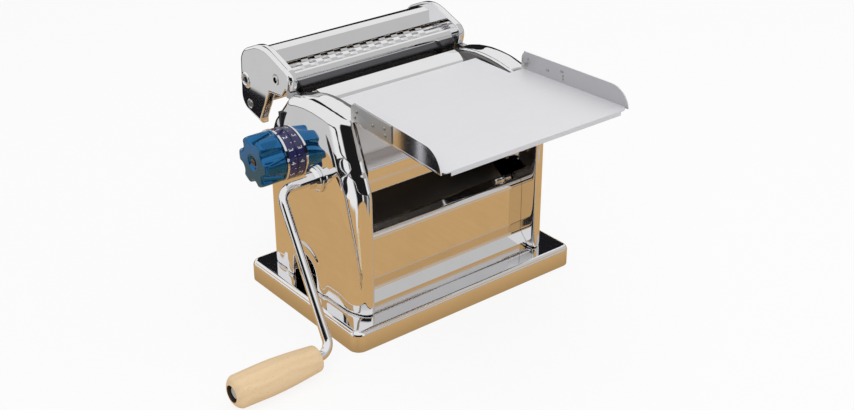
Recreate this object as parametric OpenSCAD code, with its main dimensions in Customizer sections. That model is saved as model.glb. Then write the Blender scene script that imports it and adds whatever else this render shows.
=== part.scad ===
// Hand cranked pasta machine with a chromed steel body, a feed tray and a lift-off double cutter unit.
// Millimetres. Origin at the middle of the footprint on the table, +Z up.
// X runs along the rollers with the crank at -X, and -Y is the front where the sheet comes out.

/* [Base] */
// Length of the base along the rollers
base_length = 361; // [350:1:400]
// Depth of the base from front to back
base_depth = 242; // [230:1:280]
// Height of the base above the table
base_height = 28; // [24:1:36]
// Corner radius of the base seen from above
base_corner = 14; // [11:0.5:20]
// Radius of the rolled top edge of the base
base_edge = 7; // [4:0.5:9]
// Sheet thickness of the base
base_wall = 2; // [1.5:0.1:3]
// Diameter of each rubber foot
foot_diameter = 24; // [16:1:30]

/* [Housings] */
// Length over both side housings
body_length = 314; // [308:1:326]
// Depth of the tower
body_depth = 196; // [190:1:212]
// Height of the upright tower sides above the base
tower_height = 167; // [160:1:175]
// Width of each side housing at the tower
pillar_width = 25; // [22:0.5:28]
// Height of the sloping step between tower and head
step_rise = 18; // [12:1:22]
// How far the head is set back from the tower's front
step_in = 9; // [6:1:16]
// How far the head is set in from the tower's rear
rear_step = 6; // [2:1:10]
// Depth of the housings' rounded front corners
corner_depth = 38; // [24:1:44]
// Height of the head above the step
head_height = 72; // [71:0.5:76]
// Depth of the head at its crown
head_crown_depth = 124; // [116:1:130]
// How far the head's outer face leans inwards
head_lean = 3; // [1:0.5:8]
// Height of the leaning part below the crown
lean_height = 49; // [42:1:51]
// Radius of the arch along the rear half of the head's crown
crown_radius = 132; // [120:1:170]
// Radius of the arch along the front half of the head's crown
front_crown_radius = 260; // [200:5:400]
// Radius of the crown's outer edges
edge_round = 16; // [12:0.5:18]
// Radius of the edge between crown and brow
brow_round = 6; // [4:0.5:8]
// Wall of the hollow housings
shell_wall = 4; // [3:0.5:5]
// Half width of the clamp opening at the foot of each side
arch_radius = 26; // [18:1:30]
// Height of the straight sides of the clamp opening
arch_leg = 18; // [10:1:30]
// Width of the raised rim round the clamp opening
arch_rim = 15; // [8:1:18]
// How far that rim stands out
arch_rim_rise = 2.5; // [1.5:0.5:4]
// Place of the clamp opening along the depth
arch_y = 21; // [0:1:30]

/* [Sheet metal] */
// Thickness of the panels and covers
sheet = 2; // [1.5:0.1:2.5]
// Place of the flat of the front panel
panel_y = -70; // [-74:1:-68]
// Height of the top of the front panel
panel_top = 128; // [120:1:136]
// Height of the lower edge of the front hood
hood_bottom = 189; // [182:1:194]
// Place of the upright face of the front hood
hood_y = -86; // [-92:1:-84]

/* [Rollers] */
// Length of the two sheeting rollers
roller_length = 220; // [215:1:224]
// Diameter of the sheeting rollers
roller_diameter = 36; // [32:1:38]
// Diameter of the roller journals
journal = 14; // [11:0.5:15]
// Play between a roller end and its plate
roller_end_gap = 1; // [0.5:0.1:1.5]
// Thickness of the bearing plates
plate_thickness = 5; // [4:0.5:7]
// Place of the fixed front roller
front_roller_y = -11; // [-14:0.5:-9]
// Height of both roller axes
roller_z = 239; // [235:0.5:241]
// Widest gap between the rollers
roller_gap = 3.4; // [2:0.1:4]
// Closest gap between the rollers
roller_gap_least = 0.4; // [0.3:0.1:1]
// Radial clearance of a shaft in its bush
running_fit = 0.08; // [0.03:0.01:0.1]
// Clearance beside pieces that slide or lift away
slide_fit = 0.3; // [0.2:0.05:0.5]
// Radial wall of each bush
bush_wall = 3; // [2:0.5:4]

/* [Gears] */
// Teeth of the pinion on the crank shaft
pinion_teeth = 20; // [18:1:22]
// Teeth of the gear on the front roller
drive_teeth = 28; // [26:1:29]
// Tooth module of the crank gears
drive_module = 2; // [1.9:0.05:2.05]
// Teeth of the two gears that tie the rollers
pair_teeth = 18; // [16:1:22]
// Face width of the gears
gear_width = 9; // [6:0.5:10]
// Backlash at the pitch line
backlash = 0.5; // [0.3:0.05:0.7]

/* [Crank] */
// Sideways offset of the crank axis from the front roller
crank_offset = 3; // [0:0.5:6]
// Diameter of the crank rod
rod = 12.5; // [10:0.5:13.5]
// Radius of the rod's bends
bend_radius = 17; // [13:0.5:22]
// Distance from the wall to the crank arm
crank_reach = 53; // [52:0.5:64]
// Radius of the grip's circle
crank_radius = 200.7; // [150:0.1:205]
// How far the arm spreads outwards along its length
crank_spread = 9; // [5:0.5:14]
// Rest angle of the arm, forwards from straight down
crank_angle = 33; // [28:0.1:45]
// Diameter of the drive sleeve that takes the rod
sleeve = 20; // [18:0.5:24]
// How far the sleeve stands out of the wall
sleeve_reach = 16; // [12:0.5:20]
// Diameter of the crank's driving tip and of the sockets it fits
crank_tip = 8; // [6:0.5:9]
// Diameter of the collar on the wall
collar = 34; // [30:0.5:40]
// Length of the wooden grip
grip_length = 117; // [90:1:130]
// Largest diameter of the grip
grip_diameter = 42; // [34:1:42]
// Diameter of the grip at its ends
grip_end = 33; // [28:1:36]

/* [Regulator] */
// Place of the regulator axis along the depth
regulator_y = 59; // [57:0.5:60]
// Height of the regulator axis
regulator_z = 199; // [196:0.5:201]
// Diameter of the regulator shaft
regulator_shaft_diameter = 10; // [8:0.5:12]
// Diameter of the knob
knob_diameter = 66; // [56:1:67]
// Length of the knob
knob_length = 30; // [24:0.5:30]
// Number of flutes in the knob
knob_flutes = 6; // [5:1:9]
// Radius of each flute
flute_radius = 10; // [8:0.5:12]
// How deep the flutes cut into the rim
flute_depth = 9; // [6:0.5:10]
// Width of the chrome ring
ring_width = 3; // [2:0.5:4]
// Width of the dial ring
dial_width = 12; // [9:0.5:12]
// Turn of the knob from widest to closest, in degrees
regulator_turn = 300; // [240:5:320]
// Radius of the cam at the widest gap
cam_radius = 13; // [10:0.5:13.5]

/* [Tray] */
// Height of the top of the tray sheet
tray_z = 278.6; // [278:0.1:282]
// Length of the tray in front of the head
tray_length = 174; // [140:1:190]
// Half width of the tray at the head
tray_half_back = 134; // [128:1:138]
// Half width of the tray at its front edge
tray_half_front = 145; // [136:1:155]
// Height of the side flanges
flange_height = 25; // [16:1:32]
// Sheet thickness of the tray
tray_sheet_thickness = 1.5; // [1.2:0.1:2]
// Length of the riveted bracket plates
bracket_length = 80; // [60:1:100]
// Height of the lip at the tray's front edge
tray_lip = 6; // [4:0.5:9]
// Diameter of the rivet heads
rivet = 5; // [3:0.5:6]

/* [Cutter unit] */
// Half length between the inner faces of the end caps
cap_inner = 129.5; // [127:0.5:131]
// Thickness of the end caps
cap_thickness = 12; // [11:0.5:14]
// Ring diameter of the cutter rolls
ring_diameter = 26.4; // [25.6:0.1:27]
// Core diameter of the cutter rolls
core_diameter = 19.6; // [18:0.1:20.8]
// Distance between the two rolls of a pair
pair_distance = 24; // [23.8:0.05:24.4]
// Ring width of the wide cutter in front
wide_ring = 10; // [8:0.5:12]
// Ring width of the narrow cutter behind
narrow_ring = 4; // [3:0.5:6]
// Side clearance between meshing rings
ring_gap = 0.25; // [0.15:0.05:0.4]
// Place of the front pair's first roll
front_pair_y = 93; // [92:0.5:94]
// Height of the front pair
front_pair_z = 282; // [280:0.5:283]
// Place of the rear pair's first roll
rear_pair_y = 140; // [139.5:0.5:142]
// Height of the rear pair
rear_pair_z = 260.5; // [258:0.5:261.5]
// Teeth of the cutter gears
cutter_teeth = 20; // [18:1:22]
// Journal diameter of the cutter rolls
cutter_journal = 12; // [10:0.5:13]

/* [Hidden] */
$fn = 72;

tiny = 0.01;
chrome = "lightgray";
steel = "silver";
brass = "goldenrod";

// Levels and faces of the body. Side pieces are drawn on the right and mirrored to the left.
side_outer = body_length / 2;
side_inner = side_outer - pillar_width;
body_front = -body_depth / 2;
tower_top = base_height + tower_height;
head_foot = tower_top + step_rise;
head_top = head_foot + head_height;
head_front = body_front + step_in;
crown_front = -head_crown_depth / 2;
plate_inner = roller_length / 2 + roller_end_gap;
plate_outer = plate_inner + plate_thickness;
panel_half = side_inner - slide_fit;

// Cheek: the part of each head beside the rollers.
cheek_front = crown_front + 2;
cheek_back = -crown_front;
plate_top = head_top - 4;
case_rim = 4;
case_foot = roller_z - 80;
case_top = head_top - 8;
cheek_foot = case_foot - case_rim;
case_depth = 24;
case_outer = plate_outer + case_depth;
cam_bay = 3;

// Axes.
rear_roller_y = front_roller_y + roller_diameter + roller_gap;
slide_travel = roller_gap - roller_gap_least;
crank_centres = drive_module * (pinion_teeth + drive_teeth) / 2;
crank_y = front_roller_y - crank_offset;
crank_z = roller_z - sqrt(pow(crank_centres, 2) - pow(crank_offset, 2));
mesh_angle = atan2(roller_z - crank_z, front_roller_y - crank_y);
pair_module = roller_diameter / pair_teeth;
gear_start = plate_outer + 6;
slide_start = plate_outer + 0.5;
slide_thickness = 4.5;
slide_boss = journal + 2 * running_fit + 2 * bush_wall;
cam_rate = slide_travel / regulator_turn;
cutter_module = pair_distance / cutter_teeth;
cutter_gear_width = 5;

// Crank rod, drawn pointing straight down and turned to its rest angle.
spread_angle = atan2(crank_spread, crank_radius);
bend_turn = 90 - spread_angle;
bend_tangent = bend_radius * tan(bend_turn / 2);
arm_length = sqrt(pow(crank_radius, 2) + pow(crank_spread, 2));
arm_x = -side_outer - crank_reach;
pin_x = arm_x - crank_spread;
grip_x = pin_x - bend_tangent - 4;
socket_depth = 10;
tip_length = 9;
nut_recess = 9;
nut_length = 5;
nut_lip = 1.5;
grip_hole = rod + 8;

// Tray.
tray_back = cheek_front - 4;
tray_front = tray_back - tray_length;
tray_tongue = front_roller_y + roller_diameter / 2 - 5;
tray_tongue_half = plate_inner - 2;
tray_turn = atan2(tray_half_front - tray_half_back, tray_length);

// Cutter unit: the profile of the end caps and the covers between them.
cap_outer = cap_inner + cap_thickness;
wide_y = [front_pair_y, front_pair_y + pair_distance];
narrow_y = [rear_pair_y, rear_pair_y + pair_distance];
ridge_y = wide_y[1] + 12;
ridge_z = front_pair_z + 27;
cap_nose = [wide_y[0] - 17, front_pair_z + 5];
cap_back = narrow_y[1] + ring_diameter / 2 + 3;
cap_bottom = rear_pair_z - 45;
cutter_seat = head_top - 10.5;
rod_low = [narrow_y[1] - 7, cap_bottom + 14];
rod_front = cap_nose - [0.5, 0];
tie = 9;

// Points of a sheet of given thickness that follows a path on its left side.
function unit(v) = v / norm(v);
function left_of(v) = [-v[1], v[0]];
function bisector(path, i) =
    let (a = i > 0 ? unit(path[i] - path[i - 1]) : unit(path[1] - path[0]))
    let (b = i < len(path) - 1 ? unit(path[i + 1] - path[i]) : a)
    left_of(a + b) / (1 + a * b);
function sheet_outline(path, t) = concat(path,
    [for (i = [len(path) - 1 : -1 : 0]) path[i] + t * bisector(path, i)]);
function arc(centre, r, from, to, steps = 8) =
    [for (i = [0 : steps]) let (a = from + (to - from) * i / steps) centre + r * [cos(a), sin(a)]];

// Involute gear outline with tooth zero along the first axis.
function involute(r, base) = r <= base ? 0 : let (a = acos(base / r)) tan(a) * 180 / PI - a;
function flank_angle(r, pitch, base, teeth, play) =
    90 / teeth - play / pitch * 90 / PI - involute(r, base) + involute(pitch, base);
function gear_points(teeth, m, tip, root, play) =
    let (pitch = teeth * m / 2, base = pitch * cos(20))
    let (radii = [for (i = [0 : 4]) root + (tip - root) * i / 4])
    [for (tooth = [0 : teeth - 1], side = [-1, 1], i = [0 : 4])
        let (r = radii[side < 0 ? i : 4 - i])
        let (a = tooth * 360 / teeth + side * flank_angle(r, pitch, base, teeth, play))
        r * [cos(a), sin(a)]];

// Turns a shape drawn in the plane of depth and height so that its height runs along X.
module along_x() {
    rotate([90, 0, 90]) children();
}

module both_sides() {
    children();
    mirror([1, 0, 0]) children();
}

module at_axis(y, z, x = 0) {
    translate([x, y, z]) along_x() children();
}

// A sheet cover bent along a path of depth and height points and running along X.
module bent_sheet(path, half, t = sheet) {
    translate([-half, 0, 0]) along_x() linear_extrude(2 * half) polygon(sheet_outline(path, t));
}

module rounded_rect(l, d, r) {
    for (x = [-1, 1], y = [-1, 1]) translate([x * (l / 2 - r), y * (d / 2 - r)]) circle(r);
    square([l - 2 * r, d], center = true);
    square([l, d - 2 * r], center = true);
}

// Base.
module edge_profile(width) {
    square([width - base_edge, base_height]);
    square([width, base_height - base_edge]);
    translate([width - base_edge, base_height - base_edge]) circle(base_edge);
}

module base_solid() {
    l = base_length / 2 - base_corner;
    d = base_depth / 2 - base_corner;
    linear_extrude(base_height) square([2 * l, 2 * d], center = true);
    for (turn = [0, 180]) rotate([0, 0, turn]) {
        translate([l, d, 0]) rotate([90, 0, 0]) linear_extrude(2 * d) edge_profile(base_corner);
        translate([-l, d, 0]) rotate([90, 0, 90]) linear_extrude(2 * l) edge_profile(base_corner);
    }
    for (x = [-1, 1], y = [-1, 1])
        translate([x * l, y * d, 0]) rotate([0, 0, x > 0 ? (y > 0 ? 0 : 270) : (y > 0 ? 90 : 180)])
            rotate_extrude(angle = 90) edge_profile(base_corner);
}

bolt = 6;
bolt_head = 10;
bolt_depth = 8;
foot_inset = base_corner + foot_diameter / 2;
foot_x = base_length / 2 - foot_inset;
foot_y = base_depth / 2 - foot_inset;
foot_sole = 8;
foot_neck = foot_diameter - 6;
foot_room = 1;
bolt_x = side_inner + pillar_width / 2;
bolt_y = min(-body_front - pillar_width / 2 - bolt, foot_y - (foot_diameter + bolt_head) / 2 - foot_room);

module bolt_places() {
    for (x = [-1, 1], y = [-1, 1]) translate([x * bolt_x, y * bolt_y, 0]) children();
}

module base_plinth() {
    color(chrome) difference() {
        base_solid();
        translate([0, 0, -1]) linear_extrude(base_height - base_edge + 1)
            rounded_rect(base_length - 2 * base_wall, base_depth - 2 * base_wall, base_corner - base_wall);
        translate([0, 0, -1]) linear_extrude(base_height - base_wall + 1)
            rounded_rect(base_length - base_edge - 2 * base_wall, base_depth - base_edge - 2 * base_wall,
                base_corner - base_wall);
        bolt_places() cylinder(d = bolt + 0.2, h = base_height + 1);
    }
}

module rubber_feet() {
    color("dimgray") for (x = [-1, 1], y = [-1, 1]) translate([x * foot_x, y * foot_y, 0]) {
        cylinder(d = foot_diameter, h = foot_sole);
        translate([0, 0, foot_sole]) cylinder(d = foot_neck, h = base_height - base_wall - foot_sole);
    }
}

module base_bolts() {
    color(steel) bolt_places() {
        translate([0, 0, base_height - base_wall - 4]) cylinder(d = bolt_head, h = 4, $fn = 6);
        translate([0, 0, base_height - base_wall - 1]) cylinder(d = bolt, h = base_wall + 1 + bolt_depth);
    }
}

// Side housings.
inner_round = 4;
nape_round = 12;
crown_steps = 4;
corner_round = pillar_width - inner_round;
corner_x = side_outer - corner_round;
lean_foot = head_top - lean_height;
lean_share = (lean_foot - head_foot) / head_height;
head_back = -body_front - rear_step;
lean_front = head_front + (crown_front - head_front) * lean_share;
lean_back = head_back + (-crown_front - head_back) * lean_share;
step_ease = 4;

function crown(y, top) = top - y * y / 2 / (y < 0 ? front_crown_radius : crown_radius);

// Plan of a side housing, with deep front corners and smaller rear ones.
function corner_arc(front, inset) = [for (p = arc([0, 0], 1, 270, 360))
    [corner_x + (corner_round - inset) * p[0], front + corner_depth + (corner_depth - inset) * p[1]]];

module pillar_plan(front, back) {
    polygon(concat(corner_arc(front, 0), arc([side_outer - nape_round, back - nape_round], nape_round, 0, 90),
        arc([side_inner + inner_round, back - inner_round], inner_round, 90, 180, 4),
        arc([side_inner + inner_round, front + inner_round], inner_round, 180, 270, 4)));
}

module hollow_plan(front, back) {
    polygon(concat(corner_arc(front, shell_wall),
        arc([side_outer - nape_round, back - nape_round], nape_round - shell_wall, 0, 90),
        [[corner_x, back - shell_wall]]));
}

module pillar_slice(z, height, front, back) {
    translate([0, 0, z]) linear_extrude(height) pillar_plan(front, back);
}

module tower_solid() {
    hull() {
        pillar_slice(base_height, tower_height - step_ease, body_front, -body_front);
        pillar_slice(tower_top + 1, tiny, body_front + 1, -body_front - 0.5);
        pillar_slice(head_foot, step_ease, head_front, head_back);
    }
}

module head_solid() {
    intersection() {
        head_blank();
        translate([side_inner, body_front, 0]) cube([pillar_width, body_depth, head_top]);
    }
}

// The brow's corner turns from the front to the side and drops into the crown's outer edge.
module brow_corner() {
    turn_x = corner_x - head_lean;
    for (a = [0 : 22.5 : 90])
        let (y = crown_front + corner_depth - (corner_depth - brow_round) * cos(a))
        translate([turn_x + (corner_round - brow_round) * sin(a), y,
            crown(y, head_top) - brow_round - (edge_round - brow_round) * (1 - cos(a))])
            sphere(brow_round, $fn = 24);
}

module head_blank() {
    front = crown_front + corner_depth;
    back = -crown_front - edge_round;
    inner_front = crown_front + inner_round;
    inner_back = -crown_front - nape_round;
    hull() {
        pillar_slice(tower_top, step_rise, head_front, head_back);
        pillar_slice(lean_foot, tiny, lean_front, lean_back);
        brow_corner();
        for (i = [0 : crown_steps]) let (y = front + (back - front) * i / crown_steps)
            translate([side_outer - head_lean - edge_round, y, crown(y, head_top) - edge_round])
                sphere(edge_round, $fn = 32);
        for (i = [0 : 2 * crown_steps])
            let (y = inner_front + (inner_back - inner_front) * i / 2 / crown_steps)
                translate([side_inner + inner_round, y, crown(y, head_top) - inner_round])
                    sphere(inner_round, $fn = 16);
    }
}

// Side view of the head, arched along its crown and rounded at both ends.
module cheek_outline(front, back, foot, top) {
    a = front + brow_round;
    b = back - nape_round;
    polygon(concat([[front, foot]],
        arc([a, crown(a, top) - brow_round], brow_round, 180, 90 - 0.8 * asin(a / front_crown_radius)),
        [for (i = [0 : 2 * crown_steps]) let (y = a + (b - a) * i / 2 / crown_steps) [y, crown(y, top)]],
        arc([b, crown(b, top) - nape_round], nape_round, 90 - 0.8 * asin(b / crown_radius), 0),
        [[back, foot]]));
}

module cheek_solid() {
    translate([plate_outer, 0, 0]) along_x() linear_extrude(side_inner + inner_round - plate_outer)
        cheek_outline(cheek_front, cheek_back, cheek_foot, head_top - 0.5);
}

module arch_outline(grow) {
    translate([arch_y, base_height + arch_leg]) circle(arch_radius + grow);
    translate([arch_y - arch_radius - grow, base_height]) square([2 * (arch_radius + grow), arch_leg]);
}

// The housings are open at the foot, and the tower's hollow runs up into the head.
module housing_hollow() {
    translate([0, 0, base_height - 1]) {
        linear_extrude(tower_height - step_ease - shell_wall) hollow_plan(body_front, -body_front);
        linear_extrude(lean_foot - shell_wall - base_height + 1) hollow_plan(crown_front, -crown_front);
    }
}

module bolt_bosses() {
    for (y = [-1, 1]) translate([bolt_x, y * bolt_y, base_height])
        cylinder(d = pillar_width - 2 * shell_wall + 2, h = bolt_depth + shell_wall);
}

module shaft_boss(y, z, d) {
    at_axis(y, z, case_outer) cylinder(d = d + 2 * shell_wall, h = side_outer - case_outer);
}

module wall_bore(y, z, d) {
    at_axis(y, z, plate_outer) cylinder(d = d, h = side_outer - plate_outer + 1);
}

module housing_blank() {
    difference() {
        union() {
            tower_solid();
            head_solid();
            cheek_solid();
            translate([side_outer - 2, 0, 0]) along_x() linear_extrude(2 + arch_rim_rise)
                intersection() {
                    arch_outline(arch_rim);
                    translate([body_front, base_height]) square([body_depth, tower_height]);
                }
        }
        translate([plate_outer - tiny, 0, 0]) along_x() linear_extrude(case_depth)
            cheek_outline(cheek_front + case_rim, cheek_back - case_rim, case_foot, case_top);
        at_axis(regulator_y, regulator_z, plate_outer - tiny)
            cylinder(r = cam_radius + slide_travel + cam_bay, h = side_inner - plate_outer + tiny);
        difference() {
            housing_hollow();
            bolt_bosses();
            children([0 : $children - 1]);
        }
        translate([side_outer - shell_wall - 1, 0, 0]) along_x()
            linear_extrude(shell_wall + arch_rim_rise + 2) arch_outline(0);
        translate([bolt_x, 0, 0]) for (y = [-1, 1])
            translate([0, y * bolt_y, base_height - 1]) cylinder(d = bolt + 0.2, h = bolt_depth + 2);
    }
}

crank_bush_diameter = sleeve + 2 * running_fit + 2 * bush_wall;
regulator_bush_diameter = regulator_shaft_diameter + 2 * running_fit + 2 * bush_wall;

module left_housing() {
    color(chrome) mirror([1, 0, 0]) difference() {
        housing_blank() {
            shaft_boss(crank_y, crank_z, crank_bush_diameter);
            shaft_boss(regulator_y, regulator_z, regulator_bush_diameter);
        }
        wall_bore(crank_y, crank_z, crank_bush_diameter);
        wall_bore(regulator_y, regulator_z, regulator_bush_diameter);
    }
}

module right_housing() {
    color(chrome) housing_blank();
}

// Bearing plates carry the rollers, the regulator shaft and the crank shaft.
roller_bush_diameter = journal + 2 * running_fit + 2 * bush_wall;
rod_places = [[front_roller_y - 34, roller_z - 24], [front_roller_y - 32, roller_z + 20],
    [rear_roller_y + 25, roller_z + 20]];
shaft_fit = 0.05;

module bearing_plate(crank) {
    translate([plate_inner, 0, 0]) along_x() linear_extrude(plate_thickness) difference() {
        cheek_outline(cheek_front, cheek_back, case_foot - 4, plate_top);
        translate([front_roller_y, roller_z]) circle(d = roller_bush_diameter);
        for (y = [rear_roller_y + slide_fit, rear_roller_y - slide_travel - slide_fit])
            translate([y, roller_z]) circle(d = slide_boss + 2 * slide_fit);
        translate([rear_roller_y - slide_travel - slide_fit, roller_z - slide_boss / 2 - slide_fit])
            square([slide_travel + 2 * slide_fit, slide_boss + 2 * slide_fit]);
        translate([regulator_y, regulator_z]) circle(d = regulator_shaft_diameter + 2 * running_fit);
        for (p = rod_places) translate(p) circle(d = tie + 2 * shaft_fit);
        if (crank) translate([crank_y, crank_z]) circle(d = journal + 2 * running_fit);
    }
}

module left_bearing_plate() {
    color(steel) mirror([1, 0, 0]) bearing_plate(true);
}

module right_bearing_plate() {
    color(steel) bearing_plate(false);
}

module tie_rods() {
    color(steel) for (p = rod_places)
        at_axis(p[0], p[1], -plate_outer) cylinder(d = tie, h = 2 * plate_outer);
}

module bush(outer, bore, length) {
    difference() {
        cylinder(d = outer, h = length);
        translate([0, 0, -1]) cylinder(d = bore, h = length + 2);
    }
}

module front_roller_bushes() {
    color(brass) both_sides() at_axis(front_roller_y, roller_z, plate_inner)
        bush(roller_bush_diameter - 2 * shaft_fit, journal + 2 * running_fit, plate_thickness);
}

// The collar's sleeve fills the wall and its flange lies on the outside.
module crank_bush() {
    color(chrome) mirror([1, 0, 0]) at_axis(crank_y, crank_z, case_outer) difference() {
        union() {
            cylinder(d = crank_bush_diameter - 2 * shaft_fit, h = side_outer - case_outer + 2);
            translate([0, 0, side_outer - case_outer]) cylinder(d = collar, h = 4);
            translate([0, 0, side_outer - case_outer + 4])
                cylinder(d1 = collar - 3, d2 = crank_bush_diameter, h = 4);
        }
        translate([0, 0, -1]) cylinder(d = sleeve + 2 * running_fit, h = side_outer);
    }
}

module regulator_bushes() {
    color(brass) mirror([1, 0, 0]) at_axis(regulator_y, regulator_z, case_outer)
        bush(regulator_bush_diameter - 2 * shaft_fit, regulator_shaft_diameter + 2 * running_fit,
            side_outer - case_outer);
}

pointer_width = 6;
pointer_tip = 2;
pointer_height = 20;
pointer_rise = 2;
pointer_depth = 10;

module dial_pointer() {
    foot = regulator_z + knob_diameter / 2 + 3;
    color("black") mirror([1, 0, 0]) difference() {
        translate([side_outer + pointer_rise - pointer_depth, regulator_y, foot]) along_x()
            linear_extrude(pointer_depth) polygon([[-pointer_tip / 2, 0], [pointer_tip / 2, 0],
                [pointer_width / 2, pointer_height], [-pointer_width / 2, pointer_height]]);
        head_solid();
    }
}

// Panels and covers between the housings.
panel_lap = 16;
panel_inset = 14;

module front_panel() {
    foot = panel_y - 12;
    color(chrome) bent_sheet(concat(
        [[foot, base_height], [foot, base_height + 6]],
        arc([panel_y - 8, base_height + 22], 8, -40, 0, 4),
        arc([panel_y + 10, panel_top - 14], 10, 180, 110, 5),
        [[panel_y + panel_lap, panel_top]]), panel_half, -sheet);
}

module rear_panel() {
    back = max(-body_front - panel_inset, regulator_y + cam_radius + slide_travel + cam_bay + sheet);
    color(chrome) bent_sheet([[back, base_height], [back, head_foot + 12], [cheek_back + 4, roller_z + 6],
        [cheek_back + 4, roller_z + 12]], panel_half, sheet);
}

hood_top = [crown_front - 1, tray_z - tray_sheet_thickness - slide_fit];
hood_break = [lean_front + 1.5, lean_foot];

module front_hood() {
    color(chrome) bent_sheet(concat(
        [hood_top, hood_break],
        arc([hood_y + 10, hood_bottom + 30], 10, 140, 180, 4),
        arc([hood_y + 5, hood_bottom + 5], 5, 180, 290, 6)), panel_half, sheet);
}

slot_back = front_roller_y + roller_diameter / 2 + roller_gap / 2 + 1.8;

module top_plate() {
    color(chrome) bent_sheet([[slot_back, roller_z + 23], [slot_back + 12, roller_z + 32],
        [slot_back + 22, roller_z + 35], [cheek_back - 14, roller_z + 37],
        [cheek_back - 4, roller_z + 30]], plate_inner - slide_fit, -sheet);
}

module sheet_chute() {
    color(steel) bent_sheet([[panel_y + panel_lap + sheet, panel_top - sheet],
        [cheek_back - 10, case_foot + 36]],
        plate_inner - slide_fit, sheet);
}

// Scrapers stand just clear below the rollers, on a foot that bolts to the plates.
module roller_scrapers() {
    reach = roller_diameter / 2 + 0.4;
    color(steel) for (s = [-1, 1])
        translate([-plate_inner, s > 0 ? rear_roller_y : front_roller_y, roller_z]) along_x()
            linear_extrude(2 * plate_inner) rotate(s > 0 ? -62 : 242)
                translate([reach, -7]) square([2, 14]);
}

// Drive.
module gear(teeth, m, width, tip_share = 1, phase = 0, bore = journal) {
    pitch = teeth * m / 2;
    rotate(phase) linear_extrude(width) difference() {
        polygon(gear_points(teeth, m, pitch + tip_share * m, pitch - 1.25 * m, backlash));
        circle(d = bore + 2 * shaft_fit);
    }
}

module drive_shaft() {
    inner = case_outer - plate_inner;
    color(chrome) mirror([1, 0, 0]) at_axis(crank_y, crank_z, plate_inner) difference() {
        union() {
            cylinder(d = journal, h = inner);
            translate([0, 0, inner - 4])
                cylinder(d = sleeve, h = side_outer - plate_inner - inner + 4 + sleeve_reach);
        }
        translate([0, 0, side_outer - plate_inner - socket_depth])
            cylinder(d = rod + 2 * shaft_fit, h = socket_depth + sleeve_reach + 1);
        translate([0, 0, side_outer - plate_inner - socket_depth - tip_length - 1])
            cylinder(d = crank_tip + 2 * shaft_fit, h = tip_length + 2);
    }
}

module crank_pinion() {
    color(steel) mirror([1, 0, 0]) at_axis(crank_y, crank_z, gear_start)
        gear(pinion_teeth, drive_module, gear_width, 1, mesh_angle, journal);
}

// A bend runs a little way into the straight rod at both ends, a hair thinner than the rod.
bend_lap = 3;
bend_ease = 0.2;

module bend(x, z, from) {
    translate([x, 0, z]) rotate([90, 0, 0]) rotate([0, 0, from - bend_lap])
        rotate_extrude(angle = bend_turn + 2 * bend_lap)
            translate([bend_radius, 0]) circle(d = rod - bend_ease);
}

module on_crank() {
    translate([0, crank_y, crank_z]) rotate([-crank_angle, 0, 0]) children();
}

module crank_arm() {
    straight = arm_length - 2 * bend_tangent;
    color(chrome) on_crank() {
        translate([arm_x + bend_tangent, 0, 0]) rotate([0, 90, 0])
            cylinder(d = rod, h = crank_reach - bend_tangent + socket_depth - slide_fit);
        translate([arm_x + crank_reach + socket_depth - slide_fit - 1, 0, 0]) rotate([0, 90, 0])
            cylinder(d = crank_tip, h = tip_length + 1);
        bend(arm_x + bend_tangent, -bend_radius, 90);
        translate([arm_x, 0, 0]) rotate([0, 180 + spread_angle, 0])
            translate([0, 0, bend_tangent]) cylinder(d = rod, h = straight);
        bend(pin_x - bend_tangent, bend_radius - crank_radius, 270);
        translate([pin_x - bend_tangent, 0, -crank_radius]) rotate([0, -90, 0])
            cylinder(d = rod, h = 4 + grip_length - nut_recess - 1);
    }
}

module on_grip() {
    on_crank() translate([grip_x, 0, -crank_radius]) rotate([0, -90, 0]) children();
}

module crank_grip() {
    r = grip_diameter / 2;
    e = grip_end / 2;
    swell = grip_length * 0.62;
    color("burlywood") on_grip() difference() {
        rotate_extrude() polygon(concat([[0, 0], [e - 3, 0]],
            arc([e - 3, 3], 3, -90, 0, 4),
            [for (i = [1 : 8]) let (t = i / 8) [e + (r - e) * sin(90 * t), 3 + (swell - 3) * t]],
            arc([r - 12, grip_length - 12], 12, 20, 90, 8), [[0, grip_length]]));
        translate([0, 0, -1]) cylinder(d = rod + 2 * running_fit, h = grip_length + 2);
        translate([0, 0, grip_length - nut_recess]) cylinder(d = grip_hole, h = nut_recess + 1);
    }
}

module grip_nut() {
    color(steel) on_grip() translate([0, 0, grip_length - nut_recess + slide_fit])
        difference() {
            cylinder(d = rod + nut_lip, h = nut_length);
            translate([0, 0, -1]) cylinder(d = rod - nut_lip, h = nut_length - 1);
        }
}

// Rollers.
module roller(y, ends) {
    at_axis(y, roller_z, -roller_length / 2) cylinder(d = roller_diameter, h = roller_length);
    at_axis(y, roller_z, -ends[0]) cylinder(d = journal, h = ends[0] + ends[1]);
}

shaft_end = gear_start + gear_width + 2;
rear_shaft_end = slide_start + slide_thickness;

module front_roller() {
    color(steel) roller(front_roller_y, [shaft_end, shaft_end]);
}

module rear_roller() {
    color(steel) roller(rear_roller_y, [rear_shaft_end, shaft_end]);
}

module front_drive_gear() {
    color(steel) mirror([1, 0, 0]) at_axis(front_roller_y, roller_z, gear_start)
        gear(drive_teeth, drive_module, gear_width, 1, mesh_angle + 180 + 180 / drive_teeth, journal);
}

pair_tip = 1.2;

module front_pair_gear() {
    color(steel) at_axis(front_roller_y, roller_z, gear_start)
        gear(pair_teeth, pair_module, gear_width, pair_tip, 0, journal);
}

module rear_pair_gear() {
    color(steel) at_axis(rear_roller_y, roller_z, gear_start)
        gear(pair_teeth, pair_module, gear_width, pair_tip, 180 + 180 / pair_teeth, journal);
}

// Slides carry the rear roller, and the cams on the regulator shaft push them forwards.
cam_gap = 0.12;
cam_return = 30;
slide_edge = regulator_y - cam_radius - cam_gap;

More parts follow.
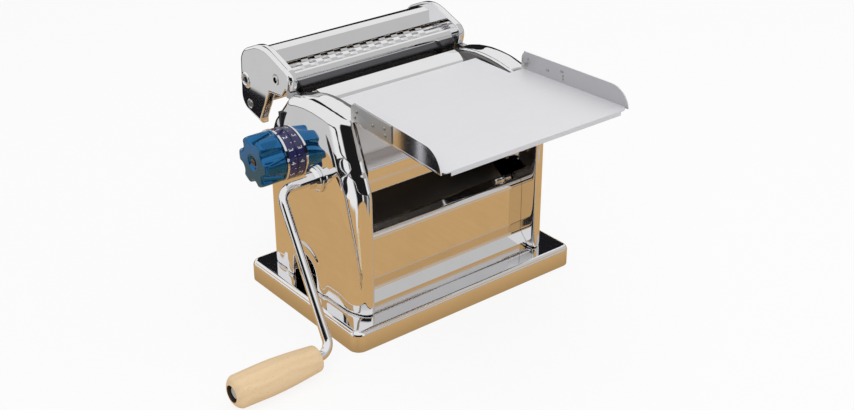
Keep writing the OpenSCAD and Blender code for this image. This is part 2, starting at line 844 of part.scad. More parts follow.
module slide() {
    difference() {
        union() {
            at_axis(rear_roller_y, roller_z, plate_inner + slide_fit)
                cylinder(d = slide_boss, h = plate_thickness + slide_start - plate_outer);
            translate([slide_start, 0, 0]) along_x() linear_extrude(slide_thickness) union() {
                translate([rear_roller_y, roller_z]) circle(d = slide_boss + 8);
                polygon([[rear_roller_y - slide_boss / 2, roller_z],
                    [rear_roller_y + slide_boss / 2, roller_z],
                    [slide_edge, regulator_z + cam_radius], [slide_edge, regulator_z - cam_radius],
                    [slide_edge - 18, regulator_z - cam_radius]]);
            }
        }
        at_axis(rear_roller_y, roller_z, plate_inner) cylinder(d = journal + 2 * running_fit, h = 40);
    }
}

module left_slide() {
    color(brass) mirror([1, 0, 0]) slide();
}

module right_slide() {
    color(brass) slide();
}

// Cam radius grows evenly with the turn, counted back from the face that touches the slide,
// then falls back and rests before that face comes round again.
function cam_lift(a) = a <= regulator_turn ? a
    : max(0, regulator_turn * (regulator_turn + cam_return - a) / cam_return);

module cam() {
    steps = 60;
    polygon([for (i = [0 : steps - 1]) let (a = i * 360 / steps)
        (cam_radius + cam_rate * cam_lift(a)) * [cos(180 + a), sin(180 + a)]]);
}

module regulator_cams() {
    color(steel) for (x = [-slide_start - slide_thickness, slide_start])
        at_axis(regulator_y, regulator_z, x) linear_extrude(slide_thickness) difference() {
            cam();
            circle(d = regulator_shaft_diameter + 2 * shaft_fit);
        }
}

module on_regulator(x) {
    mirror([1, 0, 0]) at_axis(regulator_y, regulator_z, x) children();
}

dial_start = side_outer + slide_fit;
ring_start = dial_start + dial_width;
knob_start = ring_start + ring_width;
dish = 9;
dish_depth = 4;
flute_tilt = 14;
knob_round = 4;

module regulator_shaft() {
    color(steel) on_regulator(-slide_start - slide_thickness)
        cylinder(d = regulator_shaft_diameter,
            h = knob_start + knob_length - dish_depth - 4 + slide_start + slide_thickness);
}

module regulator_ring(start, width, d) {
    on_regulator(start) bush(d, regulator_shaft_diameter + 2 * shaft_fit, width);
}

module dial_ring() {
    color("darkslateblue") regulator_ring(dial_start, dial_width, knob_diameter + 1);
}

module knob_ring() {
    color(chrome) regulator_ring(ring_start, ring_width, knob_diameter + 3);
}

module regulator_knob() {
    r = knob_diameter / 2;
    color("steelblue") on_regulator(knob_start) difference() {
        rotate_extrude() polygon(concat([[0, 0], [r, 0]],
            arc([r - knob_round, knob_length - knob_round], knob_round, 0, 90, 6),
            [[dish, knob_length], [dish - 2, knob_length - dish_depth], [0, knob_length - dish_depth]]));
        for (i = [0 : knob_flutes - 1]) rotate((i + 0.5) * 360 / knob_flutes)
            translate([r + flute_radius - flute_depth, 0, knob_length]) rotate([0, 180 - flute_tilt, 0])
                translate([0, 0, -knob_length]) cylinder(r = flute_radius, h = 2 * knob_length);
        translate([0, 0, -1])
            cylinder(d = regulator_shaft_diameter + 2 * shaft_fit, h = knob_length - dish_depth - 4 + 1);
        translate([0, 0, knob_length - dish_depth - 5]) cylinder(d = 5.2, h = 20);
    }
}

module knob_screw() {
    color(steel) on_regulator(knob_start + knob_length - dish_depth - 4) {
        cylinder(d = 5, h = 5);
        translate([0, 0, 4]) difference() {
            cylinder(d = 10, h = 3);
            translate([-6, -0.6, 2]) cube([12, 1.2, 2]);
        }
    }
}

// Tray.
module tray_outline() {
    corner = 12;
    half = tray_half_front - corner;
    polygon(concat(
        [[-tray_tongue_half, tray_tongue], [-tray_tongue_half, tray_back], [-tray_half_back, tray_back]],
        arc([-half, tray_front + corner], corner, 180, 270, 6),
        arc([half, tray_front + corner], corner, 270, 360, 6),
        [[tray_half_back, tray_back], [tray_tongue_half, tray_back], [tray_tongue_half, tray_tongue]]));
}

module flange_outline(length) {
    round = flange_height + 4;
    polygon(concat([[0, 0], [0, flange_height]],
        arc([length - round, flange_height - round], round, 90, 8, 8), [[length - 2, 0]]));
}

// Places a shape, drawn as distance from the back and height, on the outer face of a flange.
module on_flange(out) {
    translate([tray_half_back, tray_back, tray_z - tray_sheet_thickness]) rotate([0, 0, tray_turn])
        translate([out, 0, 0]) rotate([90, 0, -90]) mirror([0, 0, 1]) children();
}

module tray_sheet() {
    t = tray_sheet_thickness;
    color("gainsboro") {
        translate([0, 0, tray_z - t]) linear_extrude(t) tray_outline();
        translate([-tray_tongue_half, tray_tongue - t, tray_z - 12]) cube([2 * tray_tongue_half, t, 12]);
        translate([-tray_half_front + 14, tray_front, tray_z - tray_lip])
            cube([2 * tray_half_front - 28, t, tray_lip]);
        both_sides() on_flange(-t) linear_extrude(t) flange_outline(tray_length);
    }
}

module bracket_outline() {
    round = 9;
    polygon(concat([[bracket_length, 2], [bracket_length, flange_height - 1]],
        arc([round - 5, flange_height - 1 - round], round, 90, 180, 6),
        [[-5, 2]]));
}

rivet_places = [[8, 16], [4, 8], [42, 11], [66, 16], [68, 8]];

module tray_brackets() {
    t = tray_sheet_thickness;
    color("darkgray") both_sides() on_flange(0) linear_extrude(t) difference() {
        bracket_outline();
        for (p = rivet_places) translate(p) circle(d = rivet * 0.6);
    }
}

module tray_rivets() {
    t = tray_sheet_thickness;
    color("dimgray") both_sides() on_flange(t) for (p = rivet_places) translate([p[0], p[1], 0]) {
        cylinder(d1 = rivet, d2 = rivet * 0.6, h = 1.2);
        translate([0, 0, -t]) cylinder(d = rivet * 0.6 - 0.1, h = t + 0.1);
    }
}

// Cutter unit. Each end cap is drawn as one outline, drawn in towards its outer face.
module cap_outline(inset) {
    hull() {
        translate(cap_nose) circle(16 - inset);
        translate([ridge_y - 7, ridge_z - 47]) circle(cap_dome - inset, $fn = 96);
        translate([cap_back - 26, rear_pair_z + 21]) circle(24 - inset);
        translate([cap_back - 22, cap_bottom + 22]) circle(22 - inset);
        translate([rod_low[0] - 14, cap_bottom + 16]) circle(16 - inset);
    }
}

cap_dome = 55;
cap_seat = cutter_seat + slide_fit;
cap_notch = [[0, 0], [0, cap_seat], [wide_y[0] - 21, cap_seat], [wide_y[0] - 12, front_pair_z - 19],
    [wide_y[1] - 7, front_pair_z - 22], [wide_y[1] + 16, cap_bottom], [wide_y[1] + 16, 0]];

cutter_bush_diameter = cutter_journal + 2 * running_fit + 4;
cap_skin = 3;
bush_length = cap_thickness - cap_skin;
driven = [[wide_y[0], front_pair_z], [narrow_y[1], rear_pair_z]];
undriven = [[wide_y[1], front_pair_z], [narrow_y[0], rear_pair_z]];

// Bushes and the front rod sit in blind bores, and the drive ends and the low rod show outside.
module cap_bores(sockets) {
    translate([0, 0, -1]) linear_extrude(bush_length + 1) {
        for (p = concat(driven, undriven)) translate(p) circle(d = cutter_bush_diameter);
        translate(rod_front) circle(d = tie + 2 * shaft_fit);
    }
    linear_extrude(cap_thickness + 1) {
        for (p = sockets) translate(p) circle(d = cutter_journal + 2 * running_fit);
        translate(rod_low) circle(d = tie + 2 * shaft_fit);
    }
    translate([0, 0, -1]) linear_extrude(2) translate(rod_low) circle(d = tie + 2 * shaft_fit);
}

module cutter_cap(sockets) {
    translate([cap_inner, 0, 0]) along_x() difference() {
        hull() {
            linear_extrude(cap_thickness - 5) cap_outline(0);
            linear_extrude(cap_thickness - 3) cap_outline(0.7);
            linear_extrude(cap_thickness - 1.2) cap_outline(2.2);
            linear_extrude(cap_thickness) cap_outline(5);
        }
        translate([0, 0, -1]) linear_extrude(cap_thickness + 2) polygon(cap_notch);
        cap_bores(sockets);
    }
}

boss_diameter = cutter_journal + 7;
boss_rise = 2;

module left_cutter_cap() {
    boss = driven[1];
    color(chrome) mirror([1, 0, 0]) {
        cutter_cap(driven);
        at_axis(boss[0], boss[1], cap_outer - 1)
            bush(boss_diameter, cutter_journal + 2 * running_fit, boss_rise + 1);
    }
}

module right_cutter_cap() {
    color(chrome) cutter_cap([]);
}

module cutter_bushes() {
    color(brass) both_sides() for (p = concat(driven, undriven)) at_axis(p[0], p[1], cap_inner)
        bush(cutter_bush_diameter - 2 * shaft_fit, cutter_journal + 2 * running_fit, bush_length);
}

module cutter_tie_rods() {
    inner = cap_inner + bush_length;
    color(steel) {
        at_axis(rod_low[0], rod_low[1], -cap_outer - 1) cylinder(d = tie, h = 2 * cap_outer + 2);
        at_axis(rod_front[0], rod_front[1], -inner) cylinder(d = tie, h = 2 * inner);
    }
}

cover_half = cap_inner;
slot_z = front_pair_z + 13;

module cutter_ridge() {
    color(chrome) bent_sheet(concat([[wide_y[0] + 14, slot_z + 1]],
        arc([ridge_y, ridge_z - 40], 42, 105, 75, 6),
        [[narrow_y[0] + 13.5, rear_pair_z + 22]]), cover_half, -1.5);
}

module front_cutter_cover() {
    nose = cap_nose - [5, -2];
    color(chrome) bent_sheet(concat([[nose[0] - 1, front_pair_z - 18]],
        [[nose[0] - 2, nose[1] - 5]],
        arc([nose[0] + 5, nose[1] - 2], 7, 180, 40, 8)), cover_half, -1.5);
}

module rear_cutter_cover() {
    color(chrome) bent_sheet(concat(
        [[narrow_y[1] + 1, rear_pair_z + 18], [narrow_y[1] + 4, rear_pair_z + 21]],
        arc([cap_back - 14, rear_pair_z + 8], 13, 70, 0, 7),
        [[cap_back - 1, rear_pair_z - 22]]), cover_half, -1.5);
}

// Cutter rolls: rings of one roll run in the grooves of the other.
cutter_gear_start = cap_inner - slide_fit - cutter_gear_width;
journal_end = cap_inner + bush_length - slide_fit;

module cutter_roll(y, z, ring, first, left_end) {
    pitch = 2 * (ring + ring_gap);
    count = floor((roller_length - 4) / pitch);
    start = -count * pitch / 2 + first * pitch / 2;
    core_start = -cap_inner + slide_fit;
    core_end = cutter_gear_start - slide_fit;
    at_axis(y, z, core_start) cylinder(d = core_diameter, h = core_end - core_start);
    at_axis(y, z, -left_end) cylinder(d = cutter_journal, h = left_end + journal_end);
    for (i = [0 : count - 1])
        at_axis(y, z, start + i * pitch + ring_gap / 2) cylinder(d = ring_diameter, h = ring);
}

// A driven roll reaches the outer face of the left cap and ends in a socket for the crank.
module driven_roll(y, z, ring, first) {
    difference() {
        cutter_roll(y, z, ring, first, cap_outer + 0.5);
        at_axis(y, z, -cap_outer - 1) cylinder(d = crank_tip + 2 * shaft_fit, h = tip_length + 2);
    }
}

module wide_roll_front() {
    color(steel) driven_roll(wide_y[0], front_pair_z, wide_ring, 0);
}

module wide_roll_rear() {
    color(steel) cutter_roll(wide_y[1], front_pair_z, wide_ring, 1, journal_end);
}

module narrow_roll_front() {
    color(steel) cutter_roll(narrow_y[0], rear_pair_z, narrow_ring, 0, journal_end);
}

module narrow_roll_rear() {
    color(steel) driven_roll(narrow_y[1], rear_pair_z, narrow_ring, 1);
}

module cutter_gear(y, z, phase) {
    color(steel) at_axis(y, z, cutter_gear_start)
        gear(cutter_teeth, cutter_module, cutter_gear_width, 1, phase, cutter_journal);
}

module wide_gear_front() {
    cutter_gear(wide_y[0], front_pair_z, 0);
}

module wide_gear_rear() {
    cutter_gear(wide_y[1], front_pair_z, 180 + 180 / cutter_teeth);
}

module narrow_gear_front() {
    cutter_gear(narrow_y[0], rear_pair_z, 0);
}

module narrow_gear_rear() {
    cutter_gear(narrow_y[1], rear_pair_z, 180 + 180 / cutter_teeth);
}

// Catches on the heads carry the caps' noses.
module cutter_catches() {
    color(steel) both_sides() difference() {
        translate([cap_inner + 1, cheek_back - 12, head_top - 20])
            cube([cap_thickness - 3, 22, cutter_seat - head_top + 20]);
        head_solid();
        cheek_solid();
    }
}

base_plinth();
rubber_feet();
left_housing();
right_housing();
left_bearing_plate();
right_bearing_plate();
front_panel();
rear_panel();
front_hood();
top_plate();
sheet_chute();
tie_rods();
front_roller_bushes();
crank_bush();
regulator_bushes();
dial_pointer();
base_bolts();
cutter_catches();
roller_scrapers();
drive_shaft();
crank_pinion();
crank_arm();
grip_nut();
crank_grip();
front_roller();
front_drive_gear();
front_pair_gear();
left_slide();
right_slide();
rear_roller();
rear_pair_gear();
regulator_knob();
knob_ring();
dial_ring();
regulator_shaft();
regulator_cams();
knob_screw();
tray_sheet();
tray_brackets();
tray_rivets();
left_cutter_cap();
right_cutter_cap();
cutter_ridge();
front_cutter_cover();
rear_cutter_cover();
cutter_tie_rods();
cutter_bushes();
wide_roll_front();
wide_roll_rear();
narrow_roll_front();
narrow_roll_rear();
wide_gear_front();
wide_gear_rear();
narrow_gear_front();
narrow_gear_rear();
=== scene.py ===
"""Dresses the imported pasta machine: finishes, small pieces, studio and camera."""

from __future__ import annotations

import logging
import math
from dataclasses import dataclass, field, replace
from enum import Enum
from typing import Any, Callable

import bpy
from mathutils import Euler, Matrix, Vector


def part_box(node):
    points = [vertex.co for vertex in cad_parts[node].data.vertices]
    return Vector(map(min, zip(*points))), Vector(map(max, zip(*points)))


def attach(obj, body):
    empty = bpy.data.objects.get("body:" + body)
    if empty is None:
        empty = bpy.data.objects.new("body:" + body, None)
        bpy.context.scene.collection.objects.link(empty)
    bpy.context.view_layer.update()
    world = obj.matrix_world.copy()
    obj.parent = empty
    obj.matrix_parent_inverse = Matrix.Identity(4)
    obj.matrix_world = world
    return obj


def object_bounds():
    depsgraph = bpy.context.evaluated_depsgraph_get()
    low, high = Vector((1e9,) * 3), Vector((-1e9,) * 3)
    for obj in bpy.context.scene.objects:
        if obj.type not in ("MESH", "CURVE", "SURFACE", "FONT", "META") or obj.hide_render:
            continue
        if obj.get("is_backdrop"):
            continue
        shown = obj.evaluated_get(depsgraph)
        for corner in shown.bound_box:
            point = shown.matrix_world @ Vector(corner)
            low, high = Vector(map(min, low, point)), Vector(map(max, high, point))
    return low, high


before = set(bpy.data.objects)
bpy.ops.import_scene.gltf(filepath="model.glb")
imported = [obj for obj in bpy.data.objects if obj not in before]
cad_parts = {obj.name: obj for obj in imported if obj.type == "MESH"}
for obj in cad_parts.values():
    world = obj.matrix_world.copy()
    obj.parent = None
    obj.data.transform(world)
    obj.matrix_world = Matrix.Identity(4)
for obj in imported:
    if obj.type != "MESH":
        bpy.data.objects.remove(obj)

LOG = logging.getLogger("pasta_machine")
MM = 0.001
Span = tuple[float, float]
Triple = tuple[float, float, float]
Colour = Triple
BLACK: Colour = (0.0, 0.0, 0.0)
WHITE: Colour = (1.0, 1.0, 1.0)
OCHRE: Colour = (0.67, 0.42, 0.185)
SHADE: Colour = (0.012, 0.012, 0.014)
DUSK: Colour = (0.02, 0.02, 0.024)
PALE: Colour = (0.85, 0.85, 0.87)


def toned(colour: Colour, share: float) -> Colour:
    """A colour with each channel scaled by a share."""
    return tuple(share * c for c in colour)


def added(name: str, data: bpy.types.ID) -> bpy.types.Object:
    """A new object in the scene that shows the given data.

    Args:
        name: its name.
        data: its mesh, curve, light or camera.

    Returns:
        The object.
    """
    obj = bpy.data.objects.new(name, data)
    bpy.context.scene.collection.objects.link(obj)
    return obj


def ring_faces(first: int, bands: int, spokes: int) -> list[tuple[int, ...]]:
    """Faces between rings of points that follow each other.

    Args:
        first: number of the first point.
        bands: how many bands of faces there are.
        spokes: points in each ring.

    Returns:
        The four-sided faces.
    """
    faces = []
    for i in range(bands):
        low, high = first + i * spokes, first + (i + 1) * spokes
        for j in range(spokes):
            k = (j + 1) % spokes
            faces.append((low + j, low + k, high + k, high + j))
    return faces


class Ray(Enum):
    """Kinds of light path that a studio piece can show itself to."""

    CAMERA = "visible_camera"
    DIFFUSE = "visible_diffuse"
    GLOSSY = "visible_glossy"
    TRANSMISSION = "visible_transmission"
    VOLUME = "visible_volume_scatter"
    SHADOW = "visible_shadow"


class Axis(Enum):
    """Direction in which a grain runs, as the stretch of the texture space."""

    X = (1.0, 60.0, 60.0)
    Y = (60.0, 1.0, 60.0)
    Z = (60.0, 60.0, 1.0)


class Value:
    """A shader socket that can stand in a Python expression."""

    def __init__(self, graph: "Graph", socket: bpy.types.NodeSocket) -> None:
        """Keeps the socket and the graph that it belongs to."""
        self.graph = graph
        self.socket = socket

    def maths(self, operation: str, *others: Any) -> "Value":
        """Adds one Math node.

        Args:
            operation: the node's operation.
            others: further inputs, as values or numbers.

        Returns:
            The node's result.
        """
        links = {i: v for i, v in enumerate((self, *others))}
        return self.graph.value("ShaderNodeMath", {"operation": operation}, links)

    def __add__(self, other: Any) -> "Value":
        """Sum."""
        return self.maths("ADD", other)

    __radd__ = __add__

    def __sub__(self, other: Any) -> "Value":
        """Difference."""
        return self.maths("SUBTRACT", other)

    def __rsub__(self, other: float) -> "Value":
        """Difference from a number."""
        return self.graph.value(
            "ShaderNodeMath", {"operation": "SUBTRACT"}, {0: other, 1: self}
        )

    def __mul__(self, other: Any) -> "Value":
        """Product."""
        return self.maths("MULTIPLY", other)

    __rmul__ = __mul__

    def __truediv__(self, other: Any) -> "Value":
        """Quotient."""
        return self.maths("DIVIDE", other)

    def __pow__(self, other: Any) -> "Value":
        """Power."""
        return self.maths("POWER", other)

    def __neg__(self) -> "Value":
        """Opposite."""
        return self * -1.0

    def __abs__(self) -> "Value":
        """Size without sign."""
        return self.maths("ABSOLUTE")

    def most(self, other: Any) -> "Value":
        """The larger of two."""
        return self.maths("MAXIMUM", other)

    def step(self, low: float, high: float) -> "Value":
        """Smooth rise from 0 at low to 1 at high.

        Args:
            low: value where the rise starts.
            high: value where it ends.

        Returns:
            The rise.
        """
        settings = {"interpolation_type": "SMOOTHSTEP"}
        links = {"Value": self, "From Min": low, "From Max": high}
        return self.graph.value("ShaderNodeMapRange", settings, links)

    def between(self, low: float, high: float, soft: float) -> "Value":
        """1 between two values, with soft ends.

        Args:
            low: lower value.
            high: upper value.
            soft: width of each end.

        Returns:
            The share.
        """
        return self.step(low - soft, low) * (1.0 - self.step(high, high + soft))


class Graph:
    """Adds nodes to one node tree."""

    def __init__(self, tree: bpy.types.NodeTree) -> None:
        """Empties the tree."""
        self.tree = tree
        tree.nodes.clear()

    def node(
        self,
        kind: str,
        settings: dict[str, Any] | None = None,
        links: dict[Any, Any] | None = None,
    ) -> bpy.types.Node:
        """Adds a node.

        Args:
            kind: the node's type.
            settings: its own settings, set first; stops fills a colour ramp.
            links: values or links by the name or number of the input.

        Returns:
            The node.
        """
        made = self.tree.nodes.new(kind)
        for name, setting in (settings or {}).items():
            if name == "stops":
                self._stops(made.color_ramp, setting)
            else:
                setattr(made, name, setting)
        for name, link in (links or {}).items():
            target = made.inputs[name]
            if isinstance(link, Value):
                self.tree.links.new(link.socket, target)
            elif isinstance(link, bpy.types.NodeSocket):
                self.tree.links.new(link, target)
            else:
                target.default_value = link
        return made

    def value(
        self,
        kind: str,
        settings: dict[str, Any] | None = None,
        links: dict[Any, Any] | None = None,
        output: Any = 0,
    ) -> Value:
        """Adds a node and wraps one of its outputs.

        Args:
            kind: the node's type.
            settings: its own settings.
            links: values or links by input.
            output: name or number of the output.

        Returns:
            The wrapped output.
        """
        return Value(self, self.node(kind, settings, links).outputs[output])

    @staticmethod
    def _stops(ramp: bpy.types.ColorRamp, stops: list[tuple[float, Colour]]) -> None:
        """Fills a colour ramp.

        Args:
            ramp: the ramp.
            stops: places and colours in order.
        """
        while len(ramp.elements) < len(stops):
            ramp.elements.new(1.0)
        for element, (place, colour) in zip(ramp.elements, stops):
            element.position = place
            element.color = (*colour, 1.0)

    def place(self) -> Value:
        """Place on the object in metres, which moves with it."""
        return self.value("ShaderNodeTexCoord", output="Object")

    def parts(self, vector: Value) -> tuple[Value, Value, Value]:
        """The three components of a vector."""
        split = self.node("ShaderNodeSeparateXYZ", links={0: vector})
        return tuple(Value(self, out) for out in split.outputs)

    def stretch(self, vector: Value, scale: Triple) -> Value:
        """A vector scaled along each axis."""
        links = {"Vector": vector, "Scale": scale}
        return self.value("ShaderNodeMapping", links=links)

    def noise(
        self, vector: Value, scale: float, detail: float = 2.0, rough: float = 0.5
    ) -> Value:
        """Soft noise from 0 to 1.

        Args:
            vector: place.
            scale: waves per metre.
            detail: octaves.
            rough: share of each further octave.

        Returns:
            The noise.
        """
        links = {"Vector": vector, "Scale": scale, "Detail": detail, "Roughness": rough}
        return self.value("ShaderNodeTexNoise", links=links, output="Fac")

    def blend(self, share: Any, low: Any, high: Any) -> Value:
        """Mix of two colours.

        Args:
            share: 0 for the first and 1 for the second.
            low: first colour.
            high: second colour.

        Returns:
            The mixed colour.
        """
        wide = [c if isinstance(c, Value) else (*c, 1.0) for c in (low, high)]
        links = {0: share, 6: wide[0], 7: wide[1]}
        return self.value("ShaderNodeMix", {"data_type": "RGBA"}, links, 2)

    def bump(self, height: Value, depth: float, strength: float = 1.0) -> Value:
        """Normal of a height field.

        Args:
            height: height from 0 to 1.
            depth: what 1 stands for, in metres.
            strength: share that shows.

        Returns:
            The normal.
        """
        links = {"Height": height, "Distance": depth, "Strength": strength}
        return self.value("ShaderNodeBump", links=links, output="Normal")


def painted(name: str) -> tuple[bpy.types.Material, Graph]:
    """A new material and the graph that fills it.

    Args:
        name: its name.

    Returns:
        Both.
    """
    material = bpy.data.materials.new(name)
    material.use_nodes = True
    return material, Graph(material.node_tree)


@dataclass(frozen=True)
class Finish:
    """A surface finish: common values of the shader, and what varies over it."""

    name: str
    colour: Colour
    metallic: float = 0.0
    roughness: float = 0.4
    coat: float = 0.0

    def surface(self, graph: Graph) -> dict[str, Value]:
        """What varies over the surface, by the shader's input."""
        return {}

    def make(self) -> bpy.types.Material:
        """Builds the material.

        Returns:
            The material.
        """
        material, graph = painted(self.name)
        links: dict[str, Any] = {
            "Base Color": (*self.colour, 1.0),
            "Metallic": self.metallic,
            "Roughness": self.roughness,
            "Coat Weight": self.coat,
        }
        links.update(self.surface(graph))
        shader = graph.node("ShaderNodeBsdfPrincipled", links=links)
        graph.node("ShaderNodeOutputMaterial", links={"Surface": shader.outputs[0]})
        return material


@dataclass(frozen=True)
class Polished(Finish):
    """Mirror plating with faint hand marks and a sheet's slow ripple."""

    ripple: float = 0.05
    waves: float = 9.0
    worn: float = 0.94
    mark_scale: float = 26.0
    mark_span: Span = (0.45, 0.8)
    mark_share: float = 0.6
    mark_dulling: float = 0.03
    fine_scale: float = 900.0
    fine_stretch: Triple = (1.0, 3.0, 1.6)
    fine_share: float = 0.15
    fine_dulling: float = 0.012

    def surface(self, graph: Graph) -> dict[str, Value]:
        """Hand marks in the gloss and ripple in the reflection.

        Args:
            graph: the material's graph.

        Returns:
            What varies, by the shader's input.
        """
        place = graph.place()
        marks = graph.noise(place, self.mark_scale, detail=4.0, rough=0.62)
        marks = marks.step(*self.mark_span)
        fine = graph.noise(graph.stretch(place, self.fine_stretch), self.fine_scale)
        share = marks * self.mark_share + fine * self.fine_share
        rough = self.roughness + marks * self.mark_dulling
        ripple = graph.noise(place, self.waves, detail=1.0)
        worn = toned(self.colour, self.worn)
        return {
            "Base Color": graph.blend(share, self.colour, worn),
            "Roughness": rough + fine * self.fine_dulling,
            "Normal": graph.bump(ripple, self.ripple * MM),
        }


@dataclass(frozen=True)
class Brushed(Finish):
    """Satin steel with fine grain along one axis."""

    grain: Axis = Axis.X
    lines: float = 26.0
    depth: float = 0.02
    dark: float = 0.9
    grain_share: float = 0.7
    grain_dulling: float = 0.12
    cloud_scale: float = 14.0
    cloud_share: float = 0.3
    cloud_dulling: float = 0.06

    def surface(self, graph: Graph) -> dict[str, Value]:
        """Grain in tone, gloss and height.

        Args:
            graph: the material's graph.

        Returns:
            What varies, by the shader's input.
        """
        place = graph.place()
        along = graph.stretch(place, self.grain.value)
        grain = graph.noise(along, self.lines, detail=3.0, rough=0.6)
        cloud = graph.noise(place, self.cloud_scale, detail=3.0)
        share = grain * self.grain_share + cloud * self.cloud_share
        rough = self.roughness + (grain - 0.5) * self.grain_dulling
        dark = toned(self.colour, self.dark)
        return {
            "Base Color": graph.blend(share, self.colour, dark),
            "Roughness": rough + (cloud - 0.5) * self.cloud_dulling,
            "Normal": graph.bump(grain, self.depth * MM, strength=0.5),
        }


@dataclass(frozen=True)
class FlangedSheet(Brushed):
    """Satin sheet with side flanges that are polished outside."""

    flange_span: Span = (0.05, 0.1)
    # Tone of the painted shade on the flanges' inner faces.
    inner_shade: float = 0.66
    inner_metal: float = 0.3
    outer_roughness: float = 0.07

    def surface(self, graph: Graph) -> dict[str, Value]:
        """Grain inside, greyer up the flanges with painted shade on their inner faces, and
        a mirror on their outside.

        Args:
            graph: the material's graph.

        Returns:
            What varies, by the shader's input.
        """
        varied = super().surface(graph)
        facing = graph.value("ShaderNodeTexCoord", output="Normal")
        across, _, _ = graph.parts(facing)
        along, _, _ = graph.parts(graph.place())
        outward = across * along
        outer = outward.step(*self.flange_span)
        inner = (-outward).step(*self.flange_span)
        # Painted shade on the inward-facing sides of the flanges.
        shaded = toned(self.colour, self.inner_shade)
        rough = varied["Roughness"] * (1.0 - outer)
        metal = outer * (1.0 - self.metallic) + inner * self.inner_metal
        varied["Base Color"] = graph.blend(inner, varied["Base Color"], shaded)
        varied["Roughness"] = rough + outer * self.outer_roughness
        varied["Metallic"] = metal + self.metallic
        return varied


@dataclass(frozen=True)
class BandedSheet(Brushed):
    """Dark etched sheet with a bright band along its upper edge."""

    bright: Colour = (0.84, 0.84, 0.85)
    border: float = 0.2845
    border_soft: float = 0.0004
    bright_roughness: float = 0.06

    def surface(self, graph: Graph) -> dict[str, Value]:
        """Etched face below the border and polished above it.

        Args:
            graph: the material's graph.

        Returns:
            What varies, by the shader's input.
        """
        varied = super().surface(graph)
        _, _, up = graph.parts(graph.place())
        band = up.step(self.border - self.border_soft, self.border + self.border_soft)
        rough = varied["Roughness"] * (1.0 - band)
        varied["Base Color"] = graph.blend(band, varied["Base Color"], self.bright)
        varied["Roughness"] = rough + band * self.bright_roughness
        return varied


@dataclass(frozen=True)
class Moulded(Finish):
    """Moulded plastic with a faint orange peel and worn gloss."""

    peel: float = 0.03
    peel_scale: float = 700.0
    cloud_scale: float = 40.0
    cloud_span: Span = (0.3, 0.75)
    cloud_dulling: float = 0.08
    faded: float = 1.12
    dust: float = 0.004

    def surface(self, graph: Graph) -> dict[str, Value]:
        """Small changes of tone, gloss and height.

        Args:
            graph: the material's graph.

        Returns:
            What varies, by the shader's input.
        """
        place = graph.place()
        cloud = graph.noise(place, self.cloud_scale, detail=3.0)
        peel = graph.noise(place, self.peel_scale)
        light = tuple(min(1.0, self.faded * c + self.dust) for c in self.colour)
        share = cloud.step(*self.cloud_span)
        return {
            "Base Color": graph.blend(share, self.colour, light),
            "Roughness": self.roughness + (cloud - 0.5) * self.cloud_dulling,
            "Normal": graph.bump(peel, self.peel * MM, strength=0.4),
        }


@dataclass(frozen=True)
class TurnedBeech(Finish):
    """Beech turned along X, with grain, short flecks and thin lacquer."""

    dark: Colour = (0.74, 0.52, 0.29)
    fleck: Colour = (0.50, 0.30, 0.14)
    # Colour of the painted shade in the hole at the grip's end.
    shaded_bore: Colour = (0.045, 0.03, 0.02)
    axis: Span = (0.0, 0.0)
    bore_radius: float = 0.0
    bore_soft: float = 0.0004
    ring_slope: Span = (0.8, 0.6)
    ring_waves: float = 620.0
    ring_share: float = 0.22
    warp: float = 9.0
    warp_scale: float = 16.0
    warp_stretch: Triple = (1.0, 4.0, 4.0)
    grain_scale: float = 14.0
    grain_share: float = 0.5
    grain_dulling: float = 0.16
    fleck_scale: float = 210.0
    fleck_stretch: Triple = (1.0, 7.0, 7.0)
    fleck_span: Span = (0.66, 0.74)
    fleck_share: float = 0.6
    fleck_gloss: float = 0.05
    pores: float = 0.06

    def surface(self, graph: Graph) -> dict[str, Value]:
        """Grain bands, flecks and pores, and painted shade in the grip's end hole.

        Args:
            graph: the material's graph.

        Returns:
            What varies, by the shader's input.
        """
        place = graph.place()
        _, across, up = graph.parts(place)
        warp = graph.noise(graph.stretch(place, self.warp_stretch), self.warp_scale)
        slant = across * self.ring_slope[0] + up * self.ring_slope[1]
        rings = slant * self.ring_waves + warp * self.warp
        band = rings.maths("SINE") * 0.5 + 0.5
        along = graph.stretch(place, Axis.X.value)
        grain = graph.noise(along, self.grain_scale, detail=4.0, rough=0.65)
        short = graph.stretch(place, self.fleck_stretch)
        flecks = graph.noise(short, self.fleck_scale, detail=1.0)
        flecks = flecks.step(*self.fleck_span)
        share = band * self.ring_share + grain * self.grain_share
        base = graph.blend(share, self.colour, self.dark)
        base = graph.blend(flecks * self.fleck_share, base, self.fleck)
        # Painted shade in the hole at the grip's end: dark within a radius of the axis.
        off_y, off_z = across - self.axis[0], up - self.axis[1]
        reach = (off_y * off_y + off_z * off_z) ** 0.5
        inside = 1.0 - reach.step(self.bore_radius, self.bore_radius + self.bore_soft)
        rough = self.roughness + grain * self.grain_dulling
        height = grain * 0.6 + (1.0 - flecks) * 0.4
        return {
            "Base Color": graph.blend(inside, base, self.shaded_bore),
            "Roughness": rough - flecks * self.fleck_gloss,
            "Normal": graph.bump(height, self.pores * MM, strength=0.5),
        }


